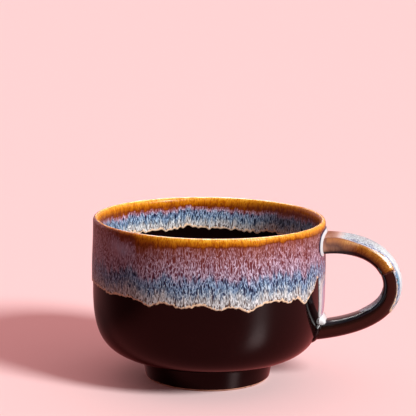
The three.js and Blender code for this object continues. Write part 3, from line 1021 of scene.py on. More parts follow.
@dataclass(frozen=True)
class StrapColours:
    """Where the second coat's colours lie on the strap.

    The outer face is white and blue, tan at the root; the sides are amber down to a brown edge that
    slopes along the strap; the inner face is dark but for a white patch. Places along the strap are
    in millimetres and places round it in degrees from the outer face.
    """

    white: float = 0.2
    tan_root: Shift = Shift(0.58, 3.0, 10.0)
    face_blue: Shift = Shift(0.05, 20.0, 60.0)
    teal_along: Hump = Hump(40.7, 0.14, 3.0)
    teal_round: Hump = Hump(54.0, 1.0, 13.0)
    border: float = 66.0
    border_root: Shift = Shift(14.0, 4.0, 16.0)
    border_low: Shift = Shift(13.0, 19.0, 28.0)
    stripe: Hump = Hump(-6.0, 0.1, 5.0)
    stripe_along: Range = (9.0, 14.0)
    amber: float = 0.985
    amber_end: float = 120.0
    amber_end_root: Shift = Shift(17.0, 4.0, 16.0)
    amber_end_low: Shift = Shift(12.0, 14.0, 32.0)
    brown_edge: Shift = Shift(0.08, -40.0, -3.0)
    brown_limit: float = 110.0
    # Painted shade: the sides darken to brown right at the upper root, in the crease by the collar.
    joint_shade: Shift = Shift(0.09, 0.3, 1.8)
    brown_root: Shift = Shift(0.065, 4.0, 11.0)
    side_round: Range = (-5.0, 3.0)
    side_along: Range = (-1.5, 0.5)
    side_fade: Range = (-4.0, 6.0)
    patch: float = 0.18
    patch_turn: Range = (122.0, 132.0)
    patch_round: Range = (126.0, 140.0)
    patch_along: Range = (40.0, 49.0)
    crisp: float = 0.12
    soft: float = 1.1
    threads_start: Range = (2.5, 12.0)
    plain_face: Shift = Shift(0.75, 17.0, 30.0)
    plain_round: Range = (30.0, 56.0)
    # Faces nearer the outer face than this turn take the painted bounce light on the dark coat.
    lit_side_round: Range = (98.0, 124.0)
    dry_root: Range = (7.0, 19.0)

    def zones(
        self, length: Array, start: Array, away: Array, near: Array, above: Array
    ) -> tuple[Array, Array]:
        """Colour place and cover of the second coat.

        Args:
            length: Lengths along the strap.
            start: Lengths from the upper root.
            away: Degrees from the outer face.
            near: Distance into the second coat.
            above: Lengths above the coat's lower break.

        Returns:
            The place on the colour scale, and the cover between 0 and 1.
        """
        face = self.white + self.tan_root.fall(start) - self.face_blue.rise(away)
        face = face - self.teal_along.over(length) * self.teal_round.over(away)
        border = self.border - self.border_root.fall(start) - self.border_low.rise(start)
        stripe = self.stripe.over(away - border) * ease(start, *self.stripe_along)
        face = np.clip(face - stripe, 0.0, 1.0)
        end = self.amber_end - self.amber_end_root.rise(start) + self.amber_end_low.rise(length)
        sides = self.amber - self.brown_edge.rise(away - np.minimum(end, self.brown_limit))
        # joint_shade is painted shade in the crease at the upper root.
        sides = sides - self.joint_shade.fall(start) - self.brown_root.fall(start)
        on_side = ease(away - border, *self.side_round) * ease(above, *self.side_along)
        outer = face + (sides - face) * on_side
        zone = outer + (self.patch - outer) * ease(away, *self.patch_turn)
        side_cover = 1.0 - ease(away - end, *self.side_fade)
        patch_cover = ease(away, *self.patch_round) * ease(length, *self.patch_along)
        fade = ease(near / (self.crisp + self.soft * on_side), -1.0, 1.0)
        return zone, np.maximum(side_cover, patch_cover) * fade

    def richness(self, start: Array, away: Array) -> Array:
        """How strongly the threads show: not at the root, and little low on the outer face."""
        plain = self.plain_face.rise(start) * (1.0 - ease(away, *self.plain_round))
        return ease(start, *self.threads_start) * (1.0 - plain)


@dataclass
class Handle:
    """Glaze on the strap, the slip collars at its ends and the pool above the lower one."""

    mug: Mug
    colours: StrapColours = StrapColours()
    depth: float = 0.5
    proud: float = 0.22
    roll: float = 1.2
    overlap: float = 1.2
    run_break: float = 36.5
    tongue: Range = (18.0, 66.0)
    tongue_depth: float = 7.0
    patch_at: float = 55.5
    patch: Range = (9.8, 40.0)
    patch_depth: float = 4.0
    edge_wave: float = 0.35
    edge_waves: Wobble = Wobble(5, 30, 4, 41, 0.4)
    line_clear: float = 3.0
    no_line: float = 4.8
    rings: int = 330
    sides: int = 128
    search: Range = (7.0, 9.0)
    halvings: int = 34
    bead_rows: int = 22
    bead_sink: float = 0.12
    bead_back: float = 0.45
    bead_tuck: float = 0.5
    collar_columns: int = 192
    collar_flare: tuple[float, float, float] = (1.7, 0.6, 2.0)
    collar_height: tuple[float, float, float] = (0.75, 0.25, -0.3)
    collar_proud: tuple[float, float, float] = (0.2, -0.13, 0.0)
    collar_wave: float = 0.08
    collar_waves: Wobble = Wobble(2, 12, 2, 51)
    collar_power: float = 1.3
    collar_cover: Range = (0.3, 0.45)
    collar_white: Shift = Shift(0.07, 0.45, 0.65)
    low_flare: float = 1.2
    low_height: float = 1.44
    pool_columns: int = 150
    pool_round: float = 38.0
    pool_half: float = 54.0
    pool_flare: float = 3.0
    pool_height: float = 2.4
    pool_end_flare: Hump = Hump(40.0, 0.6, 18.0)
    pool_end_height: Hump = Hump(40.0, 0.4, 18.0)
    pool_proud: float = 0.2
    pool_power: float = 1.6
    line: Line = field(init=False)
    upper_root: float = field(init=False)
    lower_root: float = field(init=False)

    def __post_init__(self) -> None:
        """Measures the strap's middle line and finds where it leaves the wall."""
        self.line = self.mug.strap.centre()
        radius, height = self.line.points.T
        free = np.flatnonzero(radius > self.mug.bowl.outer_radius(height))
        self.upper_root = float(self.line.length[free[0]])
        self.lower_root = float(self.line.length[free[-1]])

    def covered(self, length: Array, away: Array) -> Array:
        """Signed distance into the second coat, about square to its edge, in millimetres.

        The coat is the union of all that lies above the break, a blunt tongue on the outer face and
        a patch on the inner face. They are squared ellipses, 1 - (along³ + round⁴)^0.25 and
        1 - (along^2.5 + round^2.5)^0.4, with each distance as a share of its reach.

        Args:
            length: Lengths along the strap.
            away: Degrees from the outer face.

        Returns:
            Distances, negative outside the coat.
        """
        above = self.run_break - length
        reach, half = self.tongue
        tongue = 1.0 - ((np.clip(-above, 0.0, None) / reach) ** 3 + (away / half) ** 4) ** 0.25
        reach, half = self.patch
        along = np.abs(length - self.patch_at) / reach
        patch = 1.0 - (along**2.5 + ((180.0 - away) / half) ** 2.5) ** 0.4
        parts = np.broadcast_arrays(above, self.tongue_depth * tongue, self.patch_depth * patch)
        return np.maximum.reduce(parts)

    def build_coat(self, finish: bpy.types.Material) -> bpy.types.Object:
        """Makes the sleeve of glaze, dark below and with the second coat's raised tongues above.

        Args:
            finish: Material of the sleeve.

        Returns:
            The new object.
        """
        strap, colours = self.mug.strap, self.colours
        length = np.linspace(self.upper_root - self.overlap, self.line.length[-1], self.rings)[:, None]
        angle = np.radians(even_turn(self.sides, start=-180.0))[None, :]
        start, away = length - self.upper_root, np.degrees(np.abs(angle))
        near = self.covered(length, away) + self.edge_wave * self.edge_waves.at(angle)
        front = strap.point(self.line, length, angle, self.proud * rolled(near, self.roll))
        back = strap.point(self.line, length[::-BACK_STEP], angle, -self.depth)
        zone, cover = colours.zones(length, start, away, near, self.run_break - length)
        reach = strap.width[0] / 2.0
        flow = np.broadcast_arrays(length, reach * np.sin(angle), reach * np.abs(angle))
        no_line = (away > colours.border) | (length < self.run_break + self.line_clear)
        values = {
            "zone": zone,
            "cover": cover,
            "near": near + self.no_line * no_line,
            "rich": colours.richness(start, away),
            "flow": np.stack(flow, axis=-1),
            # warm marks the faces whose dark coat is painted a lighter brown as bounce light from the floor.
            "warm": (1.0 - ease(away, *colours.lit_side_round)) * np.ones_like(near),
            "dry": (1.0 - ease(start, *colours.dry_root)) * np.ones_like(near),
        }
        marks = {name: np.concatenate([value, value[::-BACK_STEP]]) for name, value in values.items()}
        nodes = ("run_glaze_handle", "base_glaze_handle")
        grid = np.concatenate([front, back])
        return self.mug.piece("handle_coat", grid, finish, nodes, "streaked_glaze", marks)

    def crossing(self, root: float, side: int, angle: Array, grown: Array, proud: Array | float) -> Array:
        """Length at which a line along the strap's surface meets the bowl's outside.

        It is found by halving the range about the root until it is closed in.

        Args:
            root: Length at which the middle line leaves the wall.
            side: 1 at the upper end, -1 at the lower end.
            angle: Angles round the section.
            grown: How far the line stands off the strap.
            proud: How far the wall's own surface stands proud there.

        Returns:
            The lengths.
        """
        shape = np.broadcast(angle, grown).shape
        inner = np.full(shape, root - self.search[0] * side)
        outer = np.full(shape, root + self.search[1] * side)
        for _ in range(self.halvings):
            middle = (inner + outer) / 2.0
            point = self.mug.strap.point(self.line, middle, angle, grown)
            reach = np.hypot(point[..., 0], point[..., 1])
            free = reach > self.mug.bowl.outer_radius(point[..., 2]) + proud
            outer = np.where(free, middle, outer)
            inner = np.where(free, inner, middle)
        return outer

    def fillet(
        self,
        root: float,
        side: int,
        angle: Array,
        flare: Array,
        height: Array,
        proud: Array | float,
        power: float,
    ) -> tuple[Array, Array]:
        """A bead in the corner between wall and strap.

        Across the corner the bead leaves the wall at the full flare and reaches the strap at the
        full height along (flare * cos^power, height * sin^power); its back lies under both surfaces.

        Args:
            root: Length at which the strap leaves the wall.
            side: 1 at the upper end, -1 at the lower end.
            angle: Angles round the section, one row.
            flare: How far the bead spreads on the wall at each angle.
            height: How far it spreads along the strap at each angle.
            proud: How far the wall's own surface stands proud there.
            power: 1 makes a round bead, 2 a flat one, and more a hollow one.

        Returns:
            Points, rows across the bead by columns, and the share across the bead.
        """
        turn = np.linspace(0.0, math.pi / 2.0, self.bead_rows)[:, None]
        spread = flare * np.cos(turn) ** power - self.bead_sink * np.sin(turn)
        climb = height * np.sin(turn) ** power - self.bead_sink * np.cos(turn)
        wall = self.crossing(root, side, angle, spread, proud)
        front = self.mug.strap.point(self.line, wall + side * climb, angle, spread)
        under = np.full_like(flare, -self.bead_back)
        low_wall = self.crossing(root, side, angle, under, proud)
        back = self.mug.strap.point(self.line, low_wall - side * self.bead_tuck, angle, under)
        share = np.broadcast_to(turn / (math.pi / 2.0), front.shape[:2])
        return np.concatenate([front, back]), np.concatenate([share, share[-1:]])

    def bead_marks(self, grid: Array, zone: Array, cover: Array) -> dict[str, Array]:
        """Marks of a bead: a colour place, a cover, no drip line, full threads, and the points as flow."""
        near = np.full(zone.shape, self.no_line)
        return {"zone": zone, "cover": cover, "near": near, "rich": np.ones(zone.shape), "flow": grid}

    def build_upper_collar(self, finish: bpy.types.Material) -> bpy.types.Object:
        """Makes the white bead round the strap's upper end.

        Flare, height and stand-off are each a middle value, a gain at the top and a gain at the sides.

        Args:
            finish: Material of the bead.

        Returns:
            The new object.
        """
        angle = np.radians(even_turn(self.collar_columns, start=0.0))[None, :]
        wobble = 1.0 + self.collar_wave * self.collar_waves.at(angle)
        flare, height, proud = (
            middle + top * np.cos(angle) + sides * np.sin(angle) ** 2
            for middle, top, sides in (self.collar_flare, self.collar_height, self.collar_proud)
        )
        grid, share = self.fillet(
            self.upper_root, 1, angle, flare * wobble, height * wobble, proud, self.collar_power
        )
        zone = Zone.BLUE.value - self.collar_white.rise(share)
        marks = self.bead_marks(grid, zone, ease(share, *self.collar_cover))
        return self.mug.piece("upper_collar", grid, finish, ("upper_joint_collar",), "white_glaze", marks)

    def build_lower_collar(self, finish: bpy.types.Material) -> bpy.types.Object:
        """Makes the dark bead round the strap's lower end.

        Args:
            finish: Material of the bead.

        Returns:
            The new object.
        """
        angle = np.radians(even_turn(self.collar_columns, start=0.0))[None, :]
        flare, height = np.full(angle.shape, self.low_flare), np.full(angle.shape, self.low_height)
        grid, _ = self.fillet(self.lower_root, -1, angle, flare, height, proud=0.0, power=1.0)
        return self.mug.piece("lower_collar", grid, finish, ("lower_joint_collar",), "dark_glaze")

    def build_pool(self, finish: bpy.types.Material) -> bpy.types.Object:
        """Makes the white pool over the lower joint: a bead with rounded ends, thickest near them.

        Args:
            finish: Material of the pool.

        Returns:
            The new object.
        """
        turn = np.linspace(-1.0, 1.0, self.pool_columns)[None, :] * math.radians(self.pool_half)
        away = np.degrees(np.abs(turn))
        ends = np.sqrt(1.0 - ramp(away, self.pool_round, self.pool_half) ** 2)
        flare = (self.pool_flare + self.pool_end_flare.over(away)) * ends
        height = (self.pool_height + self.pool_end_height.over(away)) * ends
        grid, share = self.fillet(
            self.lower_root, -1, turn + math.pi, flare, height, self.pool_proud, self.pool_power
        )
        grid[:, [0, -1]] = grid[:, [0, -1]].mean(axis=0, keepdims=True)
        marks = self.bead_marks(grid, np.full(share.shape, Zone.WHITE.value), np.ones(share.shape))
        return self.mug.piece("pool", grid, finish, ("run_glaze_pool",), "white_glaze", marks, closed=False)


class Nodes:
    """A short way to write shader nodes: most calls add a node and give back its output socket."""

    def __init__(self, tree: bpy.types.NodeTree) -> None:
        """Starts an empty tree of a material, world or group."""
        self.tree = tree
        tree.nodes.clear()

    def feed(self, node: bpy.types.Node, inputs: Inputs) -> bpy.types.Node:
        """Links or sets a node's inputs.

        Args:
            node: The node.
            inputs: A socket to link or a plain value to set, by the input's name or number.

        Returns:
            The node.
        """
        for name, value in inputs.items():
            if isinstance(value, bpy.types.NodeSocket):
                self.tree.links.new(value, node.inputs[name])
            else:
                node.inputs[name].default_value = value
        return node

    def add(self, kind: str, inputs: Inputs | None = None, **settings: object) -> bpy.types.Node:
        """Adds a node.

        Args:
            kind: Blender's name of the node.
            inputs: Sockets or values for its inputs.
            settings: Properties of the node.

        Returns:
            The node.
        """
        node = self.tree.nodes.new(kind)
        for name, value in settings.items():
            setattr(node, name, value)
        return self.feed(node, inputs or {})

    def math(self, operation: str, *values: Socket | float, clamp: bool = False) -> Socket:
        """One step of arithmetic."""
        inputs = dict(enumerate(values))
        return self.add("ShaderNodeMath", inputs, operation=operation, use_clamp=clamp).outputs[0]

    def times(self, *values: Socket | float) -> Socket:
        """Multiplies two or more values."""
        return reduce(lambda product, value: self.math("MULTIPLY", product, value), values)

    def plus(self, first: Socket | float, second: Socket | float) -> Socket:
        """Adds two values."""
        return self.math("ADD", first, second)

    def minus(self, first: Socket | float, second: Socket | float) -> Socket:
        """Takes the second value from the first."""
        return self.math("SUBTRACT", first, second)

    def rest(self, share: Socket) -> Socket:
        """What a share leaves of 1."""
        return self.minus(1.0, share)

    def blend(self, share: Socket, start: float, end: float) -> Socket:
        """Goes straight from a start to an end as the share goes from 0 to 1."""
        return self.math("MULTIPLY_ADD", share, end - start, start)

    def vector(self, operation: str, *values: Socket | tuple) -> Socket:
        """One step of vector arithmetic."""
        return self.add("ShaderNodeVectorMath", dict(enumerate(values)), operation=operation).outputs[0]

    def between(self, value: Socket, low: Socket | float, high: Socket | float) -> Socket:
        """Rises smoothly from 0 to 1 between two values."""
        inputs = {"Value": value, "From Min": low, "From Max": high}
        return self.add("ShaderNodeMapRange", inputs, interpolation_type="SMOOTHSTEP").outputs["Result"]

    def mix(self, share: Socket | float, first: Socket | tuple, second: Socket | tuple) -> Socket:
        """Mixes two colours."""
        inputs = {"Factor": share, 6: first, 7: second}
        return self.add("ShaderNodeMix", inputs, data_type="RGBA").outputs[2]

    def scale(self, value: Socket, stops: Stops) -> Socket:
        """A colour scale with straight blends between its stops.

        Args:
            value: Place on the scale, 0 to 1.
            stops: Place and colour of each stop, in rising order.

        Returns:
            The colour.
        """
        node = self.add("ShaderNodeValToRGB", {"Fac": value})
        elements = node.color_ramp.elements
        elements.remove(elements[1])
        elements[0].position, elements[0].color = stops[0]
        for place, colour in stops[1:]:
            elements.new(place).color = colour
        return node.outputs["Color"]

    def noise(self, vector: Socket, scale: float, detail: float, rough: float = 0.5) -> Socket:
        """Smooth noise between 0 and 1."""
        inputs = {"Vector": vector, "Scale": scale, "Detail": detail, "Roughness": rough}
        return self.add("ShaderNodeTexNoise", inputs).outputs["Fac"]

    def attribute(self, name: str, output: str = "Fac") -> Socket:
        """Reads a piece's own attribute."""
        return self.add("ShaderNodeAttribute", attribute_name=name).outputs[output]

    def object_mm(self) -> Socket:
        """A piece's Object coordinates, in millimetres."""
        place = self.add("ShaderNodeTexCoord").outputs["Object"]
        return self.vector("MULTIPLY", place, (1.0 / MM, 1.0 / MM, 1.0 / MM))

    def group(self, tree: bpy.types.NodeTree, inputs: Inputs) -> bpy.types.Node:
        """Places a shared effect with values on its named inputs."""
        return self.add("ShaderNodeGroup", inputs, node_tree=tree)


class Effects:
    """Effects that several finishes share, each a node group made once."""

    PATTERN = {
        "Flow": "NodeSocketVector",
        "Fineness": "NodeSocketFloat",
        "Stretch": "NodeSocketFloat",
        "Share": "NodeSocketFloat",
    }
    SKIN = {"Place": "NodeSocketVector", "Gloss": "NodeSocketFloat", "Spread": "NodeSocketFloat"}
    BEND_FINENESS = 0.6
    STROKE_LIMIT = (0.78, 0.22)
    STROKE_CONTRAST = 6.0
    THREAD_CORE = 0.3
    HEART_SOFT = (0.01, 0.08)
    SPECK_SOFT = (0.22, 0.48)
    SPECK_BEND = 0.9
    SKIN_FINENESS = (0.12, 1.1)
    SKIN_HEIGHT = (0.8, 0.08)

    def __init__(self) -> None:
        """Makes the groups."""
        self.net = self.make_net()
        self.strokes = self.make_strokes()
        self.specks = self.make_specks()
        self.skin = self.make_skin()

    @staticmethod
    def start(
        name: str, inputs: dict[str, str], outputs: tuple[str, ...]
    ) -> tuple[Nodes, dict[str, Socket], bpy.types.Node]:
        """Begins a group with named sockets.

        Args:
            name: Name of the group.
            inputs: Socket type of each input.
            outputs: Names of the value outputs.

        Returns:
            The node writer, the inputs by name, and the output node.
        """
        tree = bpy.data.node_groups.new(name, "ShaderNodeTree")
        for label, kind in inputs.items():
            tree.interface.new_socket(label, in_out="INPUT", socket_type=kind)
        for label in outputs:
            tree.interface.new_socket(label, in_out="OUTPUT", socket_type="NodeSocketFloat")
        nodes = Nodes(tree)
        entry = nodes.add("NodeGroupInput")
        leave = nodes.add("NodeGroupOutput")
        return nodes, {label: entry.outputs[label] for label in inputs}, leave

    def stretched(self, nodes: Nodes, given: dict[str, Socket], bend: float) -> Socket:
        """The flow in pattern units, drawn out down the wall and bent a little by slow noise.

        Args:
            nodes: Node writer of the group.
            given: The group's inputs.
            bend: How far it is bent.

        Returns:
            The pattern's own coordinates.
        """
        fineness = given["Fineness"]
        down = nodes.math("DIVIDE", fineness, given["Stretch"])
        squeeze = nodes.add("ShaderNodeCombineXYZ", {0: fineness, 1: fineness, 2: down})
        place = nodes.vector("MULTIPLY", given["Flow"], squeeze.outputs[0])
        slow = nodes.noise(place, self.BEND_FINENESS, detail=1.0)
        return nodes.vector("ADD", place, nodes.times(slow, bend))

    def make_net(self) -> bpy.types.NodeTree:
        """A net of light threads at the middle level of stretched noise, and dark hearts far from it.

        Returns:
            The effect's tree.
        """
        nodes, given, leave = self.start("glaze_net", self.PATTERN, ("Light", "Dark"))
        level = nodes.noise(self.stretched(nodes, given, bend=1.0), scale=1.0, detail=1.5)
        away = nodes.math("ABSOLUTE", nodes.minus(level, 0.5))
        core = nodes.times(given["Share"], self.THREAD_CORE)
        light = nodes.rest(nodes.between(away, core, given["Share"]))
        low, high = (nodes.plus(given["Share"], step) for step in self.HEART_SOFT)
        nodes.feed(leave, {"Light": light, "Dark": nodes.between(away, low, high)})
        return nodes.tree

    def make_strokes(self) -> bpy.types.NodeTree:
        """Fine strokes along the flow: noise stretched down the wall, with its contrast raised.

        Returns:
            The effect's tree.
        """
        nodes, given, leave = self.start("glaze_strokes", self.PATTERN, ("Mask",))
        fine = nodes.noise(self.stretched(nodes, given, bend=1.0), scale=1.0, detail=2.0, rough=0.6)
        limit = nodes.blend(given["Share"], *self.STROKE_LIMIT)
        mask = nodes.times(nodes.minus(fine, limit), self.STROKE_CONTRAST)
        nodes.feed(leave, {"Mask": nodes.math("ADD", mask, 0.5, clamp=True)})
        return nodes.tree

    def make_specks(self) -> bpy.types.NodeTree:
        """Drops: the heart of some cells of a stretched cell pattern, by each cell's own value.

        Returns:
            The effect's tree.
        """
        nodes, given, leave = self.start("glaze_specks", self.PATTERN, ("Mask",))
        place = self.stretched(nodes, given, self.SPECK_BEND)
        cells = nodes.add("ShaderNodeTexVoronoi", {"Vector": place, "Scale": 1.0}, feature="F1")
        heart = nodes.rest(nodes.between(cells.outputs["Distance"], *self.SPECK_SOFT))
        tint = nodes.add("ShaderNodeSeparateColor", {0: cells.outputs["Color"]})
        chosen = nodes.math("LESS_THAN", tint.outputs[0], given["Share"])
        nodes.feed(leave, {"Mask": nodes.times(heart, chosen)})
        return nodes.tree

    def make_skin(self) -> bpy.types.NodeTree:
        """The fired surface: gloss that varies a little, and a faint unevenness in height.

        Returns:
            The effect's tree.
        """
        nodes, given, leave = self.start("glaze_skin", self.SKIN, ("Roughness", "Height"))
        broad, fine = (nodes.noise(given["Place"], scale, detail=2.0) for scale in self.SKIN_FINENESS)
        change = nodes.times(nodes.minus(broad, 0.5), given["Spread"])
        rough = nodes.math("ADD", given["Gloss"], change, clamp=True)
        swell, grain = self.SKIN_HEIGHT
        height = nodes.math("MULTIPLY_ADD", fine, grain, nodes.times(broad, swell))
        nodes.feed(leave, {"Roughness": rough, "Height": height})
        return nodes.tree


def new_material(name: str) -> tuple[bpy.types.Material, Nodes, bpy.types.Node]:
    """Starts a material with a Principled shader.

    Args:
        name: Name of the material.

    Returns:
        The material, its node writer and the shader node.
    """
    material = bpy.data.materials.new(name)
    material.use_nodes = True
    nodes = Nodes(material.node_tree)
    shader = nodes.add("ShaderNodeBsdfPrincipled")
    nodes.add("ShaderNodeOutputMaterial", {"Surface": shader.outputs[0]})
    return material, nodes, shader


def bumped(nodes: Nodes, height: Socket, strength: float, distance: float) -> Socket:
    """A normal bent by a height, of which 1 stands for a distance in metres."""
    inputs = {"Strength": strength, "Distance": distance, "Height": height}
    return nodes.add("ShaderNodeBump", inputs).outputs["Normal"]


DARK = shade(12, 4, 4)
# Painted bounce light: the dark coat on the strap's outer and side faces takes this lighter brown, and its
# inner face stays dark.
BROWN = shade(45, 20, 14)
DARK_WARM = shade(24, 8, 8)
NAVY = shade(30, 34, 62)
CLAY = shade(206, 146, 120)
CLAY_LIGHT = shade(226, 174, 148)
IRON = shade(120, 72, 52)


def stops(places: tuple[float, ...], *colours: tuple[int, int, int]) -> Stops:
    """Stops of a colour scale: a screen colour for each place."""
    return tuple((place, shade(*colour)) for place, colour in zip(places, colours))


def grey(*steps: tuple[float, float]) -> Stops:
    """Stops of a scale of plain values, given as place and value."""
    return tuple((place, (value, value, value, 1.0)) for place, value in steps)


@dataclass(frozen=True)
class GlazeScale:
    """Colours of the second coat from its drip edge up to the lip: ground, light threads, dark hearts."""

    ground: Stops
    light: Stops
    heart: Stops


LIP = (0.875, 0.9, 0.935, 0.975, 1.0)
WALL = (0.0, 0.15, 0.21, 0.3, 0.39, 0.46, 0.6, 0.76, 0.84, *LIP)
STRAP = (0.0, 0.07, 0.13, 0.2, 0.4, 0.6, 0.8, *LIP)

# The last stop of each row, at the lip's crest, is paler than the amber below it: partly the glaze's own
# colour, partly a painted highlight along the crest.
WALL_SCALE = GlazeScale(
    ground=stops(
        WALL,
        (168, 168, 166), (160, 168, 172), (106, 128, 150), (76, 110, 148), (92, 108, 144),
        (132, 104, 126), (140, 94, 104), (144, 90, 86), (142, 78, 60),
        (116, 50, 10), (146, 70, 6), (208, 132, 10), (236, 178, 42), (250, 206, 100),
    ),
    light=stops(
        WALL,
        (236, 238, 236), (234, 240, 242), (208, 222, 230), (178, 210, 236), (188, 206, 230),
        (214, 204, 226), (216, 194, 214), (192, 154, 166), (162, 102, 92),
        (130, 62, 20), (170, 90, 12), (214, 134, 24), (238, 172, 58), (252, 214, 128),
    ),
    heart=stops(
        WALL,
        (104, 84, 70), (104, 96, 94), (48, 58, 82), (18, 34, 62), (28, 30, 54),
        (88, 46, 62), (100, 40, 44), (114, 54, 46), (120, 56, 34),
        (104, 44, 8), (128, 58, 4), (176, 94, 6), (206, 124, 16), (228, 158, 48),
    ),
)

HANDLE_SCALE = GlazeScale(
    ground=stops(
        STRAP,
        (58, 122, 156), (92, 108, 146), (156, 164, 180), (182, 204, 208), (204, 192, 188),
        (176, 138, 122), (140, 90, 62),
        (86, 40, 14), (112, 58, 18), (152, 88, 26), (186, 122, 42), (222, 166, 82),
    ),
    light=stops(
        STRAP,
        (132, 192, 210), (168, 188, 214), (208, 218, 230), (222, 240, 242), (230, 220, 216),
        (194, 160, 146), (156, 106, 78),
        (104, 54, 26), (134, 76, 30), (174, 110, 42), (206, 148, 64), (236, 188, 108),
    ),
    heart=stops(
        STRAP,
        (24, 66, 98), (40, 46, 78), (70, 78, 108), (84, 90, 112), (122, 104, 110),
        (160, 104, 92), (128, 68, 44),
        (70, 32, 12), (92, 44, 12), (128, 68, 16), (162, 98, 28), (200, 140, 58),
    ),
)


@dataclass(frozen=True)
class StreakedGlaze:
    """The second coat: ground, light threads and dark hearts that change along the colour scale.

    The fibres and the broad strokes are each a fineness and a stretch; the row of dots is those two
    and a share.
    """

    name: str
    effects: Effects
    scale: GlazeScale = WALL_SCALE
    under: Colour = DARK
    net_fineness: float = 1.45
    net_stretch: float = 3.8
    net_strength: float = 1.0
    milk: float = 0.0
    plain_light: float = 0.6
    fibres: Range = (1.25, 7.0)
    broad: Range = (0.45, 5.0)
    drift: float = 0.07
    edge_line: float = 0.95
    fray: float = 0.7
    gloss: float = 0.16
    dull: float = 0.0
    gloss_spread: float = 0.08
    specular: float = 0.25
    relief: float = 0.00006
    bump: float = 0.5

    # The pale peach line at the drip edge is partly the glaze's own colour and partly painted bounce light
    # on the edge's downward-facing roll.
    EDGE = shade(255, 222, 184)
    EDGE_SHARE = 0.92
    EDGE_SOFT = (0.75, 1.25)
    DOT = shade(62, 38, 30)
    DOT_ROW = ((0.75, 0.95), (2.2, 1.5))
    DOT_PATTERN = (0.8, 1.0, 0.85)
    DRY = 0.78
    MILKY = (0.85, 0.7)
    CALM_LIP = (0.8, 0.92)
    CALM_LIP_DRIFT = 0.2
    CALM_EDGE = (0.02, 0.14)
    THREAD = grey(
        (0.0, 0.075), (0.15, 0.075), (0.22, 0.06), (0.4, 0.055), (0.5, 0.06), (0.7, 0.045), (0.9, 0.04)
    )

    def build(self) -> bpy.types.Material:
        """Makes the material from the piece's own marks.

        They are the flow, the zone on the colour scale, the cover over the dark coat, the distance
        near the edge and the richness of the threads; warm, which marks the dark strap's faces painted
        lighter as bounce light, and dry are 0 where a piece lacks them.

        Returns:
            The material.
        """
        material, nodes, shader = new_material(self.name)
        zone, cover = nodes.attribute("zone"), nodes.attribute("cover")
        flow = nodes.attribute("flow", "Vector")
        colour, fibre, ridges = self.threads(nodes, flow, zone)
        colour = self.edged(nodes, flow, fibre, colour)
        # Where warm is 1, on the strap's outer and side faces, the dark coat is painted a lighter brown as
        # bounce light.
        under = nodes.mix(nodes.attribute("warm"), self.under, BROWN)
        milky = nodes.times(nodes.between(zone, *self.MILKY), cover, self.dull)
        dry = nodes.times(nodes.attribute("dry"), self.DRY)
        gloss = nodes.plus(nodes.math("MAXIMUM", milky, dry), self.gloss)
        skin = {"Place": flow, "Gloss": gloss, "Spread": self.gloss_spread}
        inputs = {
            "Base Color": nodes.mix(cover, under, colour),
            "Specular IOR Level": self.specular,
            "Roughness": nodes.group(self.effects.skin, skin).outputs["Roughness"],
            "Normal": bumped(nodes, nodes.times(ridges, cover), self.bump, self.relief),
        }
        nodes.feed(shader, inputs)
        return material

    def threads(self, nodes: Nodes, flow: Socket, zone: Socket) -> tuple[Socket, Socket, Socket]:
        """The coat's colour: its ground with the dark hearts and the light threads over it.

        Args:
            nodes: Node writer of the material.
            flow: Coordinates along the flow.
            zone: Place on the colour scale.

        Returns:
            The colour, the fine fibres, and the height of the threads over the hearts.
        """
        strokes, rich = self.effects.strokes, nodes.attribute("rich")
        fibre, broad = (
            self.pattern(nodes, flow, strokes, fineness, stretch, share=0.5).outputs[0]
            for fineness, stretch in (self.fibres, self.broad)
        )
        calm = nodes.blend(nodes.between(zone, *self.CALM_LIP), 1.0, self.CALM_LIP_DRIFT)
        calm = nodes.times(calm, nodes.between(zone, *self.CALM_EDGE))
        swing = nodes.times(nodes.minus(broad, 0.5), self.drift, calm)
        place = nodes.math("ADD", zone, swing, clamp=True)
        thread = nodes.scale(place, self.THREAD)
        net = self.pattern(nodes, flow, self.effects.net, self.net_fineness, self.net_stretch, thread)
        light = nodes.times(net.outputs["Light"], nodes.blend(fibre, start=0.5, end=1.0), self.net_strength)
        light = nodes.times(nodes.math("MAXIMUM", light, self.milk), rich)
        light = nodes.math("MULTIPLY_ADD", nodes.rest(rich), self.plain_light, light)
        dark = nodes.times(net.outputs["Dark"], self.net_strength, rich)
        ground, bright, heart = (
            nodes.scale(place, part) for part in (self.scale.ground, self.scale.light, self.scale.heart)
        )
        colour = nodes.mix(light, nodes.mix(dark, ground, heart), bright)
        return colour, fibre, nodes.minus(light, dark)

    def edged(self, nodes: Nodes, flow: Socket, fibre: Socket, colour: Socket) -> Socket:
        """Adds the pale, frayed line along the drip edge and the row of dark dots above it.

        Args:
            nodes: Node writer of the material.
            flow: Coordinates along the flow.
            fibre: Fine fibres, which fray the line.
            colour: The coat's colour.

        Returns:
            The colour with its edge.
        """
        near = nodes.attribute("near")
        frayed = nodes.math("MULTIPLY_ADD", nodes.minus(fibre, 0.5), self.fray, near)
        low, high = (self.edge_line * share for share in self.EDGE_SOFT)
        line = nodes.times(nodes.rest(nodes.between(frayed, low, high)), self.EDGE_SHARE)
        dots = self.pattern(nodes, flow, self.effects.specks, *self.DOT_PATTERN).outputs[0]
        row = nodes.times(*(nodes.between(near, *limits) for limits in self.DOT_ROW))
        return nodes.mix(nodes.times(dots, row), nodes.mix(line, colour, self.EDGE), self.DOT)

    @staticmethod
    def pattern(
        nodes: Nodes,
        flow: Socket,
        tree: bpy.types.NodeTree,
        fineness: float,
        stretch: float,
        share: Socket | float,
    ) -> bpy.types.Node:
        """Places one of the pattern effects on the flow."""
        inputs = {"Flow": flow, "Fineness": fineness, "Stretch": stretch, "Share": share}
        return nodes.group(tree, inputs)


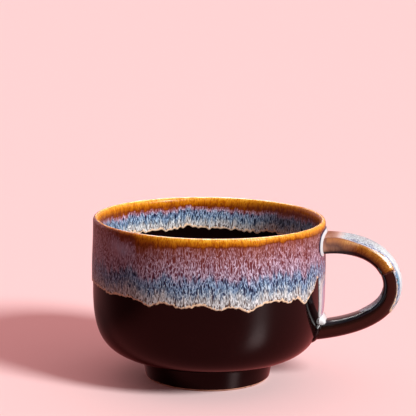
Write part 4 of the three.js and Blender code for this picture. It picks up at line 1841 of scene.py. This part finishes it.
@dataclass(frozen=True)
class DarkGlaze:
    """The base coat: almost black, breaking to warm brown, with a mirror gloss."""

    effects: Effects
    gloss: float = 0.09
    gloss_spread: float = 0.06
    specular: float = 0.2
    relief: float = 0.0002
    bump: float = 0.15
    cloud_fineness: float = 0.05
    cloud: Range = (0.45, 0.75)
    mottle_fineness: float = 0.9
    mottle: Range = (0.35, 0.75)

    def build(self) -> bpy.types.Material:
        """Makes the material from Object coordinates.

        Returns:
            The material.
        """
        material, nodes, shader = new_material("dark_glaze")
        scaled = nodes.object_mm()
        cloud = nodes.between(nodes.noise(scaled, self.cloud_fineness, detail=3.0, rough=0.6), *self.cloud)
        mottle = nodes.between(nodes.noise(scaled, self.mottle_fineness, detail=2.0), *self.mottle)
        values = {"Place": scaled, "Gloss": self.gloss, "Spread": self.gloss_spread}
        skin = nodes.group(self.effects.skin, values).outputs
        inputs = {
            "Base Color": nodes.mix(nodes.times(cloud, mottle), DARK, DARK_WARM),
            "Specular IOR Level": self.specular,
            "Roughness": skin["Roughness"],
            "Normal": bumped(nodes, skin["Height"], self.bump, self.relief),
        }
        nodes.feed(shader, inputs)
        return material


@dataclass(frozen=True)
class Stoneware:
    """Bare fired clay: peach, speckled with iron, matte and slightly gritty."""

    effects: Effects
    cloud_fineness: float = 0.25
    cloud: Range = (0.3, 0.7)
    grit_fineness: float = 3.0
    roughness: Range = (0.74, 0.94)
    relief: float = 0.0001
    bump: float = 0.35
    speck_fineness: float = 0.9
    speck_share: float = 0.12

    def build(self) -> bpy.types.Material:
        """Makes the material from Object coordinates.

        Returns:
            The material.
        """
        material, nodes, shader = new_material("stoneware")
        scaled = nodes.object_mm()
        cloud = nodes.between(nodes.noise(scaled, self.cloud_fineness, detail=3.0), *self.cloud)
        grit = nodes.noise(scaled, self.grit_fineness, detail=2.0)
        values = {"Flow": scaled, "Fineness": self.speck_fineness, "Stretch": 1.0, "Share": self.speck_share}
        specks = nodes.group(self.effects.specks, values).outputs[0]
        inputs = {
            "Base Color": nodes.mix(specks, nodes.mix(cloud, CLAY, CLAY_LIGHT), IRON),
            "Roughness": nodes.blend(grit, *self.roughness),
            "Normal": bumped(nodes, grit, self.bump, self.relief),
        }
        nodes.feed(shader, inputs)
        return material


@dataclass(frozen=True)
class StudioCamera:
    """The camera at the photograph's viewing angle, turned so that it needs no shift."""

    distance: float = 700.0
    elevation_deg: float = 13.56
    turn_deg: float = 9.2
    roll_deg: float = 0.75
    focal_pixels: float = 1546.7
    aim_height: float = 36.0
    aim_pixel: tuple[float, float] = (208.4, 296.9)
    frame_pixels: float = 416.0
    sensor: float = 36.0

    def build(self, axis: float) -> bpy.types.Object:
        """Sets the camera up and makes it the scene's camera.

        The ray through the aim pixel meets the bowl's axis at the aim height; the optical axis is
        the ray through the middle of the frame.

        Args:
            axis: X of the bowl's axis, in metres.

        Returns:
            The camera.
        """
        lift, turn, roll = (math.radians(a) for a in (self.elevation_deg, self.turn_deg, self.roll_deg))
        away = Vector((math.cos(lift) * math.sin(turn), -math.cos(lift) * math.cos(turn), math.sin(lift)))
        target = Vector((axis, 0.0, self.aim_height * MM))
        ahead = -away
        right = ahead.cross(Vector((0.0, 0.0, 1.0))).normalized()
        up = right.cross(ahead)
        middle = self.frame_pixels / 2.0
        off = Vector((middle - self.aim_pixel[0], middle - self.aim_pixel[1]))
        across = off.x * math.cos(roll) + off.y * math.sin(roll)
        down = -off.x * math.sin(roll) + off.y * math.cos(roll)
        optical = (ahead * self.focal_pixels + right * across - up * down).normalized()
        level = right * math.cos(roll) + up * math.sin(roll)
        level = (level - optical * level.dot(optical)).normalized()
        data = bpy.data.cameras.new("studio_camera")
        data.sensor_width = self.sensor
        data.lens = self.focal_pixels / self.frame_pixels * self.sensor
        camera = bpy.data.objects.new("studio_camera", data)
        basis = Matrix((level, level.cross(optical), optical * -1.0)).transposed()
        camera.matrix_world = Matrix.Translation(target + away * self.distance * MM) @ basis.to_4x4()
        bpy.context.scene.collection.objects.link(camera)
        bpy.context.scene.camera = camera
        return camera


@dataclass(frozen=True)
class Softbox:
    """A round soft light that shows only as a highlight, on the pieces it is aimed at."""

    name: str
    brightness: float
    azimuth_deg: float
    elevation_deg: float
    half_deg: float
    away: float = 1.2

    def build(self, pieces: list[bpy.types.Object]) -> None:
        """Hangs the light; its power is brightness * pi * area.

        Args:
            pieces: The pieces that it lights.
        """
        radius = self.away * math.tan(math.radians(self.half_deg))
        data = bpy.data.lights.new(self.name, "AREA")
        data.shape = "DISK"
        data.size = 2.0 * radius
        data.energy = self.brightness * math.pi * math.pi * radius**2
        towards = Studio.towards(self.azimuth_deg, self.elevation_deg)
        lamp = bpy.data.objects.new(self.name, data)
        lamp.location = towards * self.away
        lamp.rotation_euler = towards.to_track_quat("Z", "Y").to_euler()
        lamp.visible_camera = False
        lamp.visible_diffuse = False
        lit = bpy.data.collections.new(f"{self.name}_pieces")
        for piece in pieces:
            lit.objects.link(piece)
        lamp.light_linking.receiver_collection = lit
        bpy.context.scene.collection.objects.link(lamp)


@dataclass(frozen=True)
class Studio:
    """A plain pale blush floor that runs to the horizon, a soft key light and an even surround."""

    floor_half: float = 8.0
    floor_colour: Colour = shade(254, 226, 226)
    floor_bounce: Colour = shade(90, 74, 74)
    floor_mirrored: Colour = shade(224, 118, 116)
    # Painted shade, seen only in mirrors: the floor's colour on the far side, where the mug's shadow lies.
    floor_mirrored_shade: Colour = shade(120, 58, 58)
    mirrored_shade_azimuth_deg: float = 145.0
    mirrored_shade_range: Range = (0.02, 0.12)
    floor_rough: float = 0.3
    floor_rough_seen: float = 0.6
    floor_sheen: float = 0.45
    floor_sheen_tint: Colour = shade(255, 190, 190)
    surround: Colour = shade(255, 188, 188)
    key_azimuth_deg: float = -28.0
    key_elevation_deg: float = 32.0
    key_strength: float = 3.82
    key_angle_deg: float = 15.0
    key_away: float = 2.0
    fill: float = 0.66
    fill_left: float = 0.26
    left_azimuth_deg: float = -110.0
    left_range: Range = (-0.1, 0.8)
    seen: float = 0.95
    dim: float = 0.1
    dim_azimuth_deg: float = -112.0
    dim_range: Range = (-0.2, 0.45)

    def build(self) -> None:
        """Makes floor, lights and world."""
        self.build_floor()
        self.build_key()
        self.build_world()
        bpy.context.scene.view_settings.view_transform = "Standard"

    def build_floor(self) -> None:
        """Lays the floor, a flat square whose corners are (±half, ±half, 0), with a satin sheen.

        It throws little of its colour back on the mug: diffuse rays meet a darker floor, and mirrored
        rays a deeper blush that darkens on the far side, a painted shade where the mug's shadow lies.
        The sheen is broad where it is seen, so that the key leaves no glare there, and narrower in
        mirrors, where it shows on the belly.
        """
        half = self.floor_half
        mesh = bpy.data.meshes.new("floor")
        corner = [(-half, -half, 0.0), (half, -half, 0.0), (half, half, 0.0), (-half, half, 0.0)]
        mesh.from_pydata(corner, [], [(0, 1, 2, 3)])
        material, nodes, shader = new_material("floor_paper")
        ray = nodes.add("ShaderNodeLightPath").outputs
        place = nodes.add("ShaderNodeTexCoord").outputs["Object"]
        # Painted shade seen only in mirrors: the floor darkens towards the far side.
        far = nodes.between(self.facing(nodes, place, self.mirrored_shade_azimuth_deg), *self.mirrored_shade_range)
        mirrored = nodes.mix(far, self.floor_mirrored, self.floor_mirrored_shade)
        colour = nodes.mix(ray["Is Glossy Ray"], self.floor_colour, mirrored)
        inputs = {
            "Base Color": nodes.mix(ray["Is Diffuse Ray"], colour, self.floor_bounce),
            "Roughness": nodes.blend(ray["Is Camera Ray"], self.floor_rough, self.floor_rough_seen),
            "Specular IOR Level": self.floor_sheen,
            "Specular Tint": self.floor_sheen_tint,
        }
        nodes.feed(shader, inputs)
        mesh.materials.append(material)
        floor = bpy.data.objects.new("floor", mesh)
        bpy.context.scene.collection.objects.link(floor)

    @staticmethod
    def towards(azimuth: float, elevation: float) -> Vector:
        """The unit vector at an azimuth and an elevation, in degrees."""
        turn, lift = math.radians(azimuth), math.radians(elevation)
        return Vector((math.cos(lift) * math.cos(turn), math.cos(lift) * math.sin(turn), math.sin(lift)))

    def build_key(self) -> None:
        """The key light, from the handle's side and a little in front."""
        data = bpy.data.lights.new("key", "SUN")
        data.energy = self.key_strength
        data.angle = math.radians(self.key_angle_deg)
        towards = self.towards(self.key_azimuth_deg, self.key_elevation_deg)
        lamp = bpy.data.objects.new("key", data)
        lamp.location = towards * self.key_away
        lamp.rotation_euler = towards.to_track_quat("Z", "Y").to_euler()
        bpy.context.scene.collection.objects.link(lamp)

    def build_world(self) -> None:
        """The surround: pale where it is seen, and an even fill that is weaker from the left.

        In mirrors the strength falls smoothly from that of the seen surround to the dim value as the
        ray turns towards the dim side.
        """
        world = bpy.data.worlds.new("surround")
        world.use_nodes = True
        nodes = Nodes(world.node_tree)
        path = nodes.add("ShaderNodeLightPath").outputs
        ray = nodes.add("ShaderNodeTexCoord").outputs["Generated"]
        dimmed = nodes.between(self.facing(nodes, ray, self.dim_azimuth_deg), *self.dim_range)
        mirrored = nodes.blend(dimmed, self.seen, self.dim)
        left = nodes.between(self.facing(nodes, ray, self.left_azimuth_deg), *self.left_range)
        fill = nodes.blend(left, self.fill, self.fill_left)
        strength = fill
        for kind, value in (("Is Glossy Ray", mirrored), ("Is Camera Ray", self.seen)):
            strength = nodes.plus(strength, nodes.times(nodes.minus(value, fill), path[kind]))
        back = nodes.add("ShaderNodeBackground", {"Color": self.surround, "Strength": strength})
        nodes.add("ShaderNodeOutputWorld", {"Surface": back.outputs[0]})
        bpy.context.scene.world = world

    def facing(self, nodes: Nodes, ray: Socket, azimuth: float) -> Socket:
        """How far a vector reaches in a level direction: for a ray, the cosine of the angle between."""
        inputs = {0: ray, 1: tuple(self.towards(azimuth, 0.0))}
        return nodes.add("ShaderNodeVectorMath", inputs, operation="DOT_PRODUCT").outputs["Value"]


def corners(box: tuple) -> list[list[float]]:
    """The two corners of a box as plain lists of numbers."""
    return [[float(value) for value in corner] for corner in box]


def main() -> None:
    """Builds the mug's pieces in order, dresses them and sets the studio up."""
    logging.basicConfig(level=logging.INFO, format="%(name)s: %(message)s")
    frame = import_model()
    low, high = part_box("foot_ring")
    mug = Mug(axis=(low.x + high.x) / 2.0)
    effects = Effects()
    wall_glaze = StreakedGlaze("run_glaze", effects).build()
    handle_glaze = StreakedGlaze(
        "handle_glaze",
        effects,
        HANDLE_SCALE,
        net_fineness=1.7,
        net_strength=0.9,
        drift=0.05,
        edge_line=0.5,
        gloss=0.06,
        dull=0.34,
        specular=0.4,
        relief=0.00002,
    ).build()
    white_glaze = StreakedGlaze(
        "pooled_glaze",
        effects,
        under=NAVY,
        net_strength=0.2,
        milk=0.75,
        drift=0.02,
        gloss=0.1,
        relief=0.00001,
    ).build()
    dark_glaze = DarkGlaze(effects).build()
    clay = Stoneware(effects).build()

    run_coat = RunCoat(mug).build(wall_glaze)
    coats = DarkCoats(mug)
    coats.build_outside(dark_glaze)
    coats.build_inside(dark_glaze)
    coats.build_underside(dark_glaze)
    Foot(mug).build(clay)
    handle = Handle(mug)
    joined = [
        handle.build_coat(handle_glaze),
        handle.build_upper_collar(white_glaze),
        handle.build_lower_collar(dark_glaze),
        handle.build_pool(white_glaze),
    ]
    for node in ("cup_body", "handle"):
        frame["nodes"][node].data.materials.clear()
        frame["nodes"][node].data.materials.append(clay)

    StudioCamera().build(mug.axis)
    Studio().build()
    Softbox(
        "lip_softbox", brightness=26.0, azimuth_deg=99.0, elevation_deg=58.0, half_deg=20.0
    ).build([run_coat])
    Softbox(
        "handle_softbox", brightness=30.0, azimuth_deg=-50.0, elevation_deg=26.0, half_deg=17.0
    ).build(joined)


if __name__ == "__main__":
    main()
